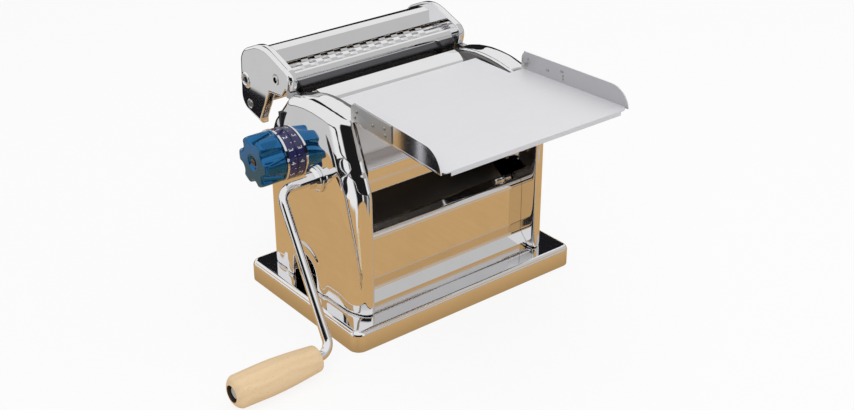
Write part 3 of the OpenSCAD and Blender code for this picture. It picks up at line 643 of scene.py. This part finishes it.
CHROME = Polished("chrome_cast", (0.86, 0.86, 0.87), 1.0, 0.035, ripple=0.006)
CHROME_SHEET = Polished(
    "chrome_sheet", (0.85, 0.85, 0.86), 1.0, 0.04, ripple=0.06, waves=7.0
)
TRAY_STEEL = FlangedSheet("tray_steel", (0.80, 0.80, 0.825), 0.3, 0.42, grain=Axis.X)
BRACKET_STEEL = Brushed("bracket_steel", (0.60, 0.60, 0.59), 1.0, 0.3, grain=Axis.Y)
GROUND_STEEL = Brushed("ground_steel", (0.66, 0.66, 0.67), 1.0, 0.2, grain=Axis.Y)
ETCHED_STEEL = BandedSheet("etched_steel", (0.15, 0.15, 0.16), 1.0, 0.22, grain=Axis.X)
CHUTE_STEEL = Brushed("chute_steel", (0.16, 0.155, 0.15), 1.0, 0.34, grain=Axis.X)
RIVET_STEEL = Brushed("rivet_steel", (0.42, 0.42, 0.42), 1.0, 0.28, grain=Axis.Z)
BRONZE = Brushed("oiled_bronze", (0.58, 0.40, 0.18), 1.0, 0.32, grain=Axis.X)
KNOB_BLUE = Moulded("knob_blue", (0.010, 0.130, 0.32), 0.8, roughness=0.16, coat=0.2)
DIAL_VIOLET = Moulded("dial_violet", (0.022, 0.022, 0.105), roughness=0.25, coat=0.2)
POINTER_BLACK = Moulded("pointer_black", (0.012, 0.014, 0.018), roughness=0.35)
FOOT_RUBBER = Moulded("foot_rubber", (0.022, 0.022, 0.022), roughness=0.75, peel=0.08)
DIAL_PRINT = Moulded("dial_print", (0.84, 0.84, 0.86), roughness=0.45, peel=0.01)
BEECH = TurnedBeech("turned_beech", (0.90, 0.68, 0.42), roughness=0.42, coat=0.12)
NUT_STEEL = Brushed("nut_steel", (0.86, 0.86, 0.86), 0.4, 0.25, grain=Axis.Y)


class Shop:
    """Makes each finish once and dresses CAD nodes with it."""

    WELD = 0.002
    SOFT_SPLIT = 48.0
    BEVEL_STEPS = 2
    EASE = 0.5

    def __init__(self) -> None:
        """Starts with no finish made."""
        self.made: dict[str, bpy.types.Material] = {}

    def finish(self, kind: Finish) -> bpy.types.Material:
        """The material of a finish, made when first asked for.

        Args:
            kind: the finish.

        Returns:
            The material.
        """
        if kind.name not in self.made:
            self.made[kind.name] = kind.make()
        return self.made[kind.name]

    def dress(self, obj: bpy.types.Object, kind: Finish) -> None:
        """Gives an object one finish all over."""
        obj.data.materials.clear()
        obj.data.materials.append(self.finish(kind))

    def smooth(self, node: str, angle: float = 32.0, bevel: float = 0.0) -> None:
        """Shades a CAD node smoothly across its small facets.

        Args:
            node: the node's name.
            angle: edges sharper than this stay sharp, in degrees.
            bevel: width of the light-catching bevel on those edges, in mm.
        """
        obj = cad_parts[node]
        mesh = obj.data
        custom = mesh.attributes.get("custom_normal")
        if custom is not None:
            mesh.attributes.remove(custom)
        mesh.polygons.foreach_set("use_smooth", [True] * len(mesh.polygons))
        weld = obj.modifiers.new("weld", "WELD")
        weld.merge_threshold = self.WELD * MM
        if bevel:
            edge = obj.modifiers.new("bevel", "BEVEL")
            edge.width = bevel * MM
            edge.segments = self.BEVEL_STEPS
            edge.limit_method = "ANGLE"
            edge.angle_limit = math.radians(angle)
            edge.use_clamp_overlap = True
        split = obj.modifiers.new("split", "EDGE_SPLIT")
        split.split_angle = math.radians(self.SOFT_SPLIT if bevel else angle)
        weigh = obj.modifiers.new("weigh", "WEIGHTED_NORMAL")
        weigh.keep_sharp = True

    def melt(self, node: str, grain: float, rounds: int) -> None:
        """Runs the flats and small facets of a casting into one smooth skin.

        Args:
            node: the node's name.
            grain: size of the new faces, in mm.
            rounds: how often the skin is eased.
        """
        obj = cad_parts[node]
        skin = obj.modifiers.new("skin", "REMESH")
        skin.mode = "VOXEL"
        skin.voxel_size = grain * MM
        skin.use_smooth_shade = True
        ease = obj.modifiers.new("ease", "SMOOTH")
        ease.factor = self.EASE
        ease.iterations = rounds


@dataclass
class SubAssembly:
    """A group of CAD nodes that are dressed together."""

    shop: Shop
    name: str = "group"

    def finishes(self) -> dict[Finish, str]:
        """Nodes by finish, as words in one string."""
        return {}

    def bevels(self) -> dict[str, float]:
        """Bevel width in mm by node."""
        return {}

    def castings(self) -> dict[str, tuple[float, int]]:
        """Grain in mm and rounds of easing by node, for smooth castings."""
        return {}

    def build(self) -> list[bpy.types.Object]:
        """Makes the pieces that the CAD does not have."""
        return []

    def dress(self) -> None:
        """Shades and paints every node of the group."""
        widths = self.bevels()
        skins = self.castings()
        for kind, nodes in self.finishes().items():
            for node in nodes.split():
                if node in skins:
                    self.shop.melt(node, *skins[node])
                else:
                    self.shop.smooth(node, bevel=widths.get(node, 0.0))
                self.shop.dress(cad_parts[node], kind)
                LOG.info("%s: %s in %s", self.name, node, kind.name)
        for piece in self.build():
            LOG.info("%s: made %s", self.name, piece.name)


@dataclass
class Body(SubAssembly):
    """Base, housings, panels and the inner frame."""

    name: str = "body"

    def finishes(self) -> dict[Finish, str]:
        """Chrome outside and ground steel inside."""
        return {
            CHROME: "base_plinth left_housing right_housing",
            CHROME_SHEET: "front_panel rear_panel front_hood top_plate",
            GROUND_STEEL: "tie_rods base_bolts cutter_catches roller_scrapers",
            CHUTE_STEEL: "left_bearing_plate right_bearing_plate sheet_chute",
            BRONZE: "front_roller_bushes regulator_bushes",
            POINTER_BLACK: "dial_pointer",
            FOOT_RUBBER: "rubber_feet",
        }

    def castings(self) -> dict[str, tuple[float, int]]:
        """Both housings are smooth castings."""
        return {"left_housing": (1.5, 40), "right_housing": (1.5, 40)}


@dataclass
class Rollers(SubAssembly):
    """Sheeting rollers, their gears and slides."""

    name: str = "rollers"

    def finishes(self) -> dict[Finish, str]:
        """Ground steel in bronze."""
        return {
            GROUND_STEEL: "front_roller rear_roller front_drive_gear front_pair_gear "
            "rear_pair_gear",
            BRONZE: "left_slide right_slide",
        }


@dataclass
class Crank(SubAssembly):
    """Bent crank, its shaft and the wooden grip."""

    name: str = "crank"
    nut_room: float = 3.4

    def finishes(self) -> dict[Finish, str]:
        """Chromed rod and collar, beech grip.

        Returns:
            Nodes by finish.
        """
        low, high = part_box("crank_grip")
        middle = (low + high) / 2
        nut_low, nut_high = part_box("grip_nut")
        # Radius of the painted shade round the grip's end hole: the nut and some room
        # round it.
        shaded_bore = (nut_high.z - nut_low.z) / 2 + self.nut_room * MM
        wood = replace(BEECH, axis=(middle.y, middle.z), bore_radius=shaded_bore)
        return {
            CHROME: "crank_arm drive_shaft crank_bush",
            GROUND_STEEL: "crank_pinion",
            NUT_STEEL: "grip_nut",
            wood: "crank_grip",
        }


@dataclass
class Regulator(SubAssembly):
    """Thickness knob with its printed dial."""

    name: str = "regulator"
    numbers: int = 10
    step: float = 30.0
    first: float = 90.0
    number_size: float = 8.91
    number_shift: float = -0.6
    mark_size: Span = (0.5, 2.2)
    mark_shift: float = 3.4
    ink: float = 0.03
    lift: float = 0.05
    curve_steps: int = 6
    middle: Vector = field(init=False)
    radius: float = field(init=False)

    def finishes(self) -> dict[Finish, str]:
        """Blue knob, violet dial and chrome ring."""
        return {
            KNOB_BLUE: "regulator_knob",
            DIAL_VIOLET: "dial_ring",
            CHROME: "knob_ring",
            GROUND_STEEL: "regulator_shaft regulator_cams",
            CHUTE_STEEL: "knob_screw",
        }

    def castings(self) -> dict[str, tuple[float, int]]:
        """The knob is a smooth moulding with soft lobes."""
        return {"regulator_knob": (0.6, 40)}

    def build(self) -> list[bpy.types.Object]:
        """Prints the numbers and the marks round the dial.

        Returns:
            The printed pieces.
        """
        low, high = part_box("dial_ring")
        self.middle = (low + high) / 2
        self.radius = (high.z - low.z) / 2
        made = []
        for i in range(self.numbers):
            name, turn = f"dial_number_{i + 1}", self.first + self.step * i
            number = self.glyph(str(i + 1))
            made.append(self.wrap(number, name, turn, self.number_shift))
        for i in range(self.numbers):
            name, turn = f"dial_mark_{i + 1}", self.first + self.step * (i + 0.5)
            made.append(self.wrap(self.bar(), name, turn, self.mark_shift))
        for piece in made:
            self.shop.dress(piece, DIAL_PRINT)
            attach(piece, "regulator")
        return made

    def glyph(self, text: str) -> bpy.types.Mesh:
        """A flat number, centred, in mm.

        Args:
            text: the number.

        Returns:
            Its mesh.
        """
        curve = bpy.data.curves.new("number", "FONT")
        curve.body = text
        curve.size = self.number_size
        curve.align_x = "CENTER"
        curve.align_y = "CENTER"
        curve.extrude = self.ink
        curve.resolution_u = self.curve_steps
        holder = added("number", curve)
        bpy.context.view_layer.update()
        graph = bpy.context.evaluated_depsgraph_get()
        mesh = bpy.data.meshes.new_from_object(holder.evaluated_get(graph))
        bpy.data.objects.remove(holder)
        return mesh

    def bar(self) -> bpy.types.Mesh:
        """A flat mark, centred, in mm.

        Returns:
            Its mesh.
        """
        mesh = bpy.data.meshes.new("mark")
        x, y, z = self.mark_size[0] / 2, self.mark_size[1] / 2, self.ink
        points = [(a, b, c) for c in (-z, z) for b in (-y, y) for a in (-x, x)]
        faces = [(0, 2, 3, 1), (4, 5, 7, 6), (0, 1, 5, 4)]
        faces += [(2, 6, 7, 3), (0, 4, 6, 2), (1, 3, 7, 5)]
        mesh.from_pydata(points, [], faces)
        return mesh

    def wrap(
        self, mesh: bpy.types.Mesh, name: str, turn: float, shift: float
    ) -> bpy.types.Object:
        """Bends a flat mark round the dial.

        Args:
            mesh: the mark in mm, with its top along +Y.
            name: the piece's name.
            turn: where on the dial in degrees, from +Y towards +Z.
            shift: how far along the dial towards the wall, in mm.

        Returns:
            The piece.
        """
        for vertex in mesh.vertices:
            across, along, out = vertex.co * MM
            angle = math.radians(turn) + across / self.radius
            reach = self.radius + self.lift * MM + out
            vertex.co = (
                self.middle.x + along + shift * MM,
                self.middle.y + reach * math.cos(angle),
                self.middle.z + reach * math.sin(angle),
            )
        mesh.update()
        return added(name, mesh)


@dataclass
class Tray(SubAssembly):
    """Feed tray with its riveted brackets."""

    name: str = "tray"
    tail_radius: float = 1.7
    tail_rise: float = 0.8
    flange: float = 1.5
    sink: float = 0.3
    cell: float = 6.0
    rings: int = 4
    spokes: int = 16

    def finishes(self) -> dict[Finish, str]:
        """Satin sheet, greyer brackets, dark rivets."""
        return {
            TRAY_STEEL: "tray_sheet",
            BRACKET_STEEL: "tray_brackets",
            RIVET_STEEL: "tray_rivets",
        }

    def bevels(self) -> dict[str, float]:
        """Broken edges of the sheet and the plates."""
        return {"tray_sheet": 0.35, "tray_brackets": 0.3}

    def build(self) -> list[bpy.types.Object]:
        """Closes the rivets with a domed tail inside each flange.

        Returns:
            The tails of each side as one piece.
        """
        made = []
        for name, side in (("left_rivet_tails", -1.0), ("right_rivet_tails", 1.0)):
            points, faces = [], []
            for centre in self.rivets(side):
                self.dome(points, faces, centre, -side)
            mesh = bpy.data.meshes.new(name)
            mesh.from_pydata(points, [], faces)
            mesh.polygons.foreach_set("use_smooth", [True] * len(faces))
            piece = added(name, mesh)
            self.shop.dress(piece, RIVET_STEEL)
            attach(piece, "tray")
            made.append(piece)
        return made

    def rivets(self, side: float) -> list[Vector]:
        """Where the rivets of one side come through the flange.

        Args:
            side: -1 for the left flange and 1 for the right one.

        Returns:
            The inner end of each rivet.
        """
        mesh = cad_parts["tray_rivets"].data
        cell = self.cell * MM
        ends: dict[tuple[int, int], list[Vector]] = {}
        for vertex in mesh.vertices:
            if vertex.co.x * side > 0.0:
                key = (round(vertex.co.y / cell), round(vertex.co.z / cell))
                ends.setdefault(key, []).append(vertex.co)
        return [self.inner(spots, side) for _, spots in sorted(ends.items())]

    def inner(self, spots: list[Vector], side: float) -> Vector:
        """Where one rivet comes out on the inside of its flange.

        Args:
            spots: the rivet's points.
            side: -1 for the left flange and 1 for the right one.

        Returns:
            The middle of its tail, on the flange.
        """
        low = Vector([min(p[i] for p in spots) for i in range(3)])
        high = Vector([max(p[i] for p in spots) for i in range(3)])
        middle = (low + high) / 2
        end = low.x if side > 0.0 else high.x
        return Vector((end - side * self.flange * MM, middle.y, middle.z))

    def dome(
        self, points: list[Any], faces: list[Any], centre: Vector, way: float
    ) -> None:
        """Adds one closed dome.

        Args:
            points: takes its points.
            faces: takes its faces.
            centre: the middle of its foot.
            way: direction along X in which it stands out.
        """
        first = len(points)
        levels = [(-self.sink, 1.0)]
        for i in range(self.rings):
            turn = math.pi / 2 * i / self.rings
            levels.append((self.tail_rise * math.sin(turn), math.cos(turn)))
        for rise, share in levels:
            for j in range(self.spokes):
                turn = 2.0 * math.pi * j / self.spokes
                reach = self.tail_radius * share * MM
                points.append((
                    centre.x + way * rise * MM,
                    centre.y + way * reach * math.cos(turn),
                    centre.z + reach * math.sin(turn),
                ))
        faces.extend(ring_faces(first, len(levels) - 1, self.spokes))
        top = first + (len(levels) - 1) * self.spokes
        faces.append(tuple(first + self.spokes - 1 - j for j in range(self.spokes)))
        faces.append(tuple(top + j for j in range(self.spokes)))


@dataclass
class CutterUnit(SubAssembly):
    """Lift-off double cutter behind the head."""

    name: str = "cutter unit"

    def finishes(self) -> dict[Finish, str]:
        """Chromed caps, covers and wide rolls, ground narrow rolls."""
        return {
            CHROME: "left_cutter_cap right_cutter_cap",
            CHROME_SHEET: "cutter_ridge rear_cutter_cover wide_roll_front "
            "wide_roll_rear",
            ETCHED_STEEL: "front_cutter_cover",
            GROUND_STEEL: "narrow_roll_front narrow_roll_rear wide_gear_front "
            "wide_gear_rear narrow_gear_front narrow_gear_rear cutter_tie_rods",
            BRONZE: "cutter_bushes",
        }

    def castings(self) -> dict[str, tuple[float, int]]:
        """Both end caps are smooth castings."""
        return {"left_cutter_cap": (0.7, 24), "right_cutter_cap": (0.7, 24)}


@dataclass(frozen=True)
class Screen:
    """Low upright screen near the machine that only reflections show."""

    name: str
    colour: Colour
    start: Span
    end: Span
    rise: Span
    shaded: float = 0.85


@dataclass
class Studio:
    """Floor, reflection cards, lamps, background and camera."""

    eye: Triple = (-0.9572, -1.2278, 0.9070)
    azimuth: float = 38.69
    drop: float = 27.44
    lens: float = 56.04
    sensor: float = 36.0
    far: float = 50.0
    sky: float = 0.5
    floor_reach: float = 6.0
    floor_height: float = -0.3
    floor_white: Colour = (0.9, 0.9, 0.9)
    floor_fleck: Colour = (0.86, 0.86, 0.86)
    fleck_scale: float = 60.0
    fleck_share: float = 0.1
    floor_own_light: float = 0.86
    table_reach: float = 4.4
    table_height: float = 0.4
    table_left: float = -0.48
    table_right: float = 1.1
    table_front: float = -0.41
    table_back: float = 0.42
    table_edge: Span = (-0.004, 0.02)
    table_tone: float = 0.8
    # Painted shade on the table close to the base: its tone and its soft edge.
    table_shade: float = 0.62
    shade_span: Span = (-0.01, 0.035)
    cloud_scale: float = 6.0
    brush_stretch: Triple = (9.0, 1.0, 1.0)
    brush_scale: float = 14.0
    footprint: Span = (0.1805, 0.121)
    notch: Span = (-0.40, -0.11)
    notch_turn: float = 5.0
    notch_spread: Span = (20.0, 26.0)
    notch_tone: Colour = (0.82, 0.83, 0.86)
    nook_left: Span = (-0.46, -0.45)
    nook_back: Span = (0.51, 0.53)
    streak_left: Span = (0.43, 0.44)
    streak_span: Triple = (0.13, 0.31, 0.01)
    streak_split: Triple = (0.215, 0.235, 0.006)
    corner: Span = (-0.15, -0.08)
    floor_levels: tuple[Span, ...] = (
        (0.0, 0.92), (0.022, 0.9), (0.036, 0.012), (0.112, 0.012), (0.122, 0.85),
        (0.136, 0.8), (0.146, 0.04), (0.2, 0.06), (0.225, 0.48), (0.252, 0.5),
        (0.26, 0.012), (0.28, 0.02), (0.292, 0.46), (0.42, 0.5), (0.6, 0.6),
        (0.9, 0.62), (0.93, 0.92),
    )
    screens: tuple[Screen, ...] = (
        Screen("back_screen", SHADE, (0.05, 0.69), (0.78, 0.23), (0.12, 0.44)),
        Screen("left_screen", OCHRE, (-0.264, -0.04), (-0.264, 0.26), (0.08, 0.13)),
        Screen("front_screen", OCHRE, (-0.05, -0.26), (0.45, -0.26), (0.1, 0.165)),
        Screen("flange_screen_1", SHADE, (-0.3, 0.02), (-0.3, 0.055), (0.09, 0.2)),
        Screen("flange_screen_2", PALE, (-0.3, 0.055), (-0.3, 0.068), (0.09, 0.2)),
        Screen("flange_screen_3", DUSK, (-0.3, 0.068), (-0.3, 0.115), (0.09, 0.2)),
    )
    wall: float = 0.88
    grey_side: float = 0.56
    darkest: float = 0.012
    grey_turn: Triple = (-62.0, 12.0, 9.0)
    door_turn: Triple = (66.0, 80.0, 2.0)
    door_rise: Triple = (0.48, 0.95, 0.02)
    skirting: Triple = (-0.08, 0.03, 0.03)
    end_turn: Triple = (-170.0, -92.0, 5.0)
    end_top: Span = (0.47, 0.53)
    room_reach: float = 6.0
    room_foot: float = -4.0
    room_rings: int = 24
    room_spokes: int = 48
    aim: Triple = (0.0, 0.0, 0.15)
    lamps: tuple[tuple[str, Triple, float, float], ...] = (
        ("key_softbox", (-1.1, -1.3, 2.1), 2.0, 22.0),
        ("top_softbox", (0.5, 0.4, 2.4), 2.4, 16.0),
        ("right_fill", (2.0, -0.9, 1.1), 1.6, 6.0),
    )

    def build(self) -> None:
        """Sets the whole studio up."""
        self.camera()
        self.world()
        self.floor()
        self.reflected_table()
        for screen in self.screens:
            self.reflected_screen(screen)
        self.reflected_room()
        for name, place, size, watts in self.lamps:
            self.lamp(name, Vector(place), size, watts)

    def camera(self) -> None:
        """Puts the camera where the photograph was taken from."""
        data = bpy.data.cameras.new("view")
        data.lens = self.lens
        data.sensor_width = self.sensor
        data.sensor_fit = "HORIZONTAL"
        data.clip_end = self.far
        camera = added("view", data)
        turn = Euler(
            (math.radians(90.0 - self.drop), 0.0, -math.radians(self.azimuth)), "XYZ"
        )
        camera.matrix_world = Matrix.Translation(self.eye) @ turn.to_matrix().to_4x4()
        bpy.context.scene.camera = camera
        bpy.context.scene.view_settings.view_transform = "Standard"

    def world(self) -> None:
        """White to the camera and in reflections, soft light for the rest."""
        world = bpy.data.worlds.new("studio")
        world.use_nodes = True
        graph = Graph(world.node_tree)
        share = self.seen(graph)
        soft, plain = (
            graph.value("ShaderNodeBackground", links={0: (*WHITE, 1.0), 1: level})
            for level in (self.sky, 1.0)
        )
        mixed = graph.value("ShaderNodeMixShader", links={0: share, 1: soft, 2: plain})
        graph.node("ShaderNodeOutputWorld", links={"Surface": mixed})
        bpy.context.scene.world = world

    @staticmethod
    def seen(graph: Graph) -> Value:
        """1 for what the camera, a mirror or a glass shows, 0 for light.

        Args:
            graph: the graph that asks.

        Returns:
            The share.
        """
        path = graph.node("ShaderNodeLightPath")
        camera, glossy, through = (
            Value(graph, path.outputs[f"Is {kind} Ray"])
            for kind in ("Camera", "Glossy", "Transmission")
        )
        return camera.most(glossy).most(through)

    def card(
        self,
        name: str,
        points: list[Any],
        paint: Callable[[Graph], Value],
        faces: list[tuple[int, ...]] | None = None,
    ) -> bpy.types.Object:
        """A studio card that shows only in reflections.

        Args:
            name: the card's name.
            points: its corners, in order if it is one flat face.
            paint: makes its shader.
            faces: its faces, if it has several.

        Returns:
            The card.
        """
        obj = self.sheet(name, points, faces)
        # The card glows with its own colour: a painted reflection that only mirrors see.
        material, graph = painted(name)
        graph.node("ShaderNodeOutputMaterial", links={"Surface": paint(graph)})
        obj.data.materials.append(material)
        for ray in Ray:
            setattr(obj, ray.value, ray is Ray.GLOSSY)
        return obj

    @staticmethod
    def sheet(
        name: str, points: list[Any], faces: list[tuple[int, ...]] | None = None
    ) -> bpy.types.Object:
        """A staged sheet.

        Args:
            name: the sheet's name.
            points: its corners, in order if it is one flat face.
            faces: its faces, if it has several.

        Returns:
            The sheet.
        """
        mesh = bpy.data.meshes.new(name)
        whole = [tuple(range(len(points)))]
        mesh.from_pydata([tuple(p) for p in points], [], faces or whole)
        obj = added(name, mesh)
        obj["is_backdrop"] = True
        return obj

    @staticmethod
    def square(reach: float, height: float) -> list[Triple]:
        """Corners of a level square round the machine, at a height in mm."""
        ends = ((-1, -1), (1, -1), (1, 1), (-1, 1))
        return [(x * reach, y * reach, height * MM) for x, y in ends]

    def floor(self) -> None:
        """Pale floor that keeps the machine's soft shadow."""
        obj = self.sheet("floor", self.square(self.floor_reach, self.floor_height))
        material, graph = painted("floor_paper")
        fleck = graph.noise(graph.place(), self.fleck_scale, detail=3.0)
        tone = graph.blend(fleck * self.fleck_share, self.floor_white, self.floor_fleck)
        paper = graph.value("ShaderNodeBsdfDiffuse", links={"Color": tone})
        share = self.seen(graph) * self.floor_own_light
        light = self.glow(graph, (*WHITE, 1.0))
        mixed = graph.value("ShaderNodeMixShader", links={0: share, 1: paper, 2: light})
        graph.node("ShaderNodeOutputMaterial", links={"Surface": mixed})
        obj.data.materials.append(material)

    @staticmethod
    def glow(graph: Graph, colour: Any) -> Value:
        """A shader that shines with a colour as written."""
        links = {"Color": colour, "Strength": 1.0}
        return graph.value("ShaderNodeEmission", links=links)

    @staticmethod
    def bearing(x: Value, y: Value) -> Value:
        """Compass angle of a place in degrees, from +X towards +Y."""
        return y.maths("ARCTAN2", x) * (180.0 / math.pi)

    def reflected_table(self) -> None:
        """Ochre table top round the machine and the floor beyond, for reflections."""

        def paint(graph: Graph) -> Value:
            """Table top, the floor beyond its edge and a dark streak at the left.

            Args:
                graph: the card's graph.

            Returns:
                Its shader.
            """
            x, y, _ = graph.parts(graph.place())
            off = (self.table_left - x).most(self.table_front - y)
            off = off.most(x - self.table_right).most(y - self.table_back)
            off = off.step(*self.table_edge)
            top, floor = self.table_top(graph, x, y), self.floor_beyond(graph, x, y)
            streak = (-x).step(*self.streak_left) * y.between(*self.streak_span)
            streak = streak * (1.0 - y.between(*self.streak_split))
            table = graph.blend(off, top, floor)
            return self.glow(graph, graph.blend(streak, table, SHADE))

        corners = self.square(self.table_reach, self.table_height)
        self.card("reflected_table", corners, paint)

    def table_top(self, graph: Graph, x: Value, y: Value) -> Value:
        """Brushed ochre with painted shade close to the base, and a pale notch.

        Args:
            graph: the card's graph.
            x: place along the machine.
            y: place across it.

        Returns:
            The colour.
        """
        cloud = graph.noise(graph.place(), self.cloud_scale, detail=3.0)
        along = graph.stretch(graph.place(), self.brush_stretch)
        lines = graph.noise(along, self.brush_scale, detail=3.0)
        # Painted shade on the table close to the machine's base.
        half_x, half_y = self.footprint
        away = (abs(x) - half_x).most(abs(y) - half_y).step(*self.shade_span)
        tone, contact_shade = toned(OCHRE, self.table_tone), toned(OCHRE, self.table_shade)
        top = graph.blend(cloud * 0.5 + lines * 0.5, OCHRE, tone)
        top = graph.blend(away, contact_shade, top)
        notch_x, notch_y = self.notch
        spread = abs(self.bearing(notch_x - x, notch_y - y) - self.notch_turn)
        return graph.blend(1.0 - spread.step(*self.notch_spread), top, self.notch_tone)

    def floor_beyond(self, graph: Graph, x: Value, y: Value) -> Value:
        """Floor in stripes that fan out from one corner, with a dark nook.

        Args:
            graph: the card's graph.
            x: place along the machine.
            y: place across it.

        Returns:
            The colour.
        """
        corner_x, corner_y = self.corner
        turn = self.bearing(x - corner_x, y - corner_y) / 360.0 + 0.5
        stops = [(place, (level,) * 3) for place, level in self.floor_levels]
        stripes = graph.value("ShaderNodeValToRGB", {"stops": stops}, {0: turn})
        nook = x.step(*self.nook_left) * y.step(*self.nook_back)
        return graph.blend(nook, stripes, SHADE)

    def reflected_screen(self, screen: Screen) -> None:
        """Stands one screen up.

        Args:
            screen: which one.
        """

        def paint(graph: Graph) -> Value:
            """Plain colour with a soft cloud.

            Args:
                graph: the card's graph.

            Returns:
                Its shader.
            """
            cloud = graph.noise(graph.place(), self.cloud_scale, detail=3.0)
            tone = toned(screen.colour, screen.shaded)
            return self.glow(graph, graph.blend(cloud, screen.colour, tone))

        low, high = screen.rise
        foot = [(*screen.start, low), (*screen.end, low)]
        head = [(*screen.end, high), (*screen.start, high)]
        self.card(screen.name, foot + head, paint)

    def reflected_room(self) -> None:
        """Walls and ceiling of the studio, for reflections."""

        def paint(graph: Graph) -> Value:
            """Pale walls with a dark doorway, a grey side and a dark camera end.

            Args:
                graph: the card's graph.

            Returns:
                Its shader.
            """
            settings = {"operation": "NORMALIZE"}
            way = graph.value("ShaderNodeVectorMath", settings, {0: graph.place()})
            x, y, up = graph.parts(way)
            turn = self.bearing(x, y)
            side = turn.between(*self.grey_turn)
            level = self.wall - (self.wall - self.grey_side) * side
            doorway = turn.between(*self.door_turn) * up.between(*self.door_rise)
            end = turn.between(*self.end_turn) * (1.0 - up.step(*self.end_top))
            dark = doorway.most(up.between(*self.skirting)).most(end)
            share = level * (1.0 - dark) + self.darkest
            return self.glow(graph, graph.blend(share, BLACK, WHITE))

        points = []
        for i in range(self.room_rings + 1):
            rise = self.room_foot + (90.0 - self.room_foot) * i / self.room_rings
            flat = self.room_reach * math.cos(math.radians(rise))
            height = self.room_reach * math.sin(math.radians(rise))
            for j in range(self.room_spokes):
                turn = 2.0 * math.pi * j / self.room_spokes
                points.append((flat * math.cos(turn), flat * math.sin(turn), height))
        faces = ring_faces(0, self.room_rings, self.room_spokes)
        self.card("reflected_room", points, paint, faces)

    def lamp(self, name: str, place: Vector, size: float, watts: float) -> None:
        """A square softbox aimed at the machine.

        Args:
            name: the lamp's name.
            place: where it hangs.
            size: its side in metres.
            watts: its power.
        """
        data = bpy.data.lights.new(name, "AREA")
        data.shape = "SQUARE"
        data.size = size
        data.energy = watts
        obj = added(name, data)
        obj.location = place
        aim = Vector(self.aim) - place
        obj.rotation_euler = aim.to_track_quat("-Z", "Y").to_euler()
        obj.visible_glossy = False


def corners() -> list[list[float]]:
    """The shown object's box as plain numbers."""
    return [list(corner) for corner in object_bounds()]


def main() -> None:
    """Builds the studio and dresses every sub-assembly."""
    logging.basicConfig(level=logging.INFO, format="%(name)s: %(message)s")
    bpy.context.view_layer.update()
    Studio().build()
    shop = Shop()
    for group in (Body, Rollers, Crank, Regulator, Tray, CutterUnit):
        group(shop).dress()


if __name__ == "__main__":
    main()
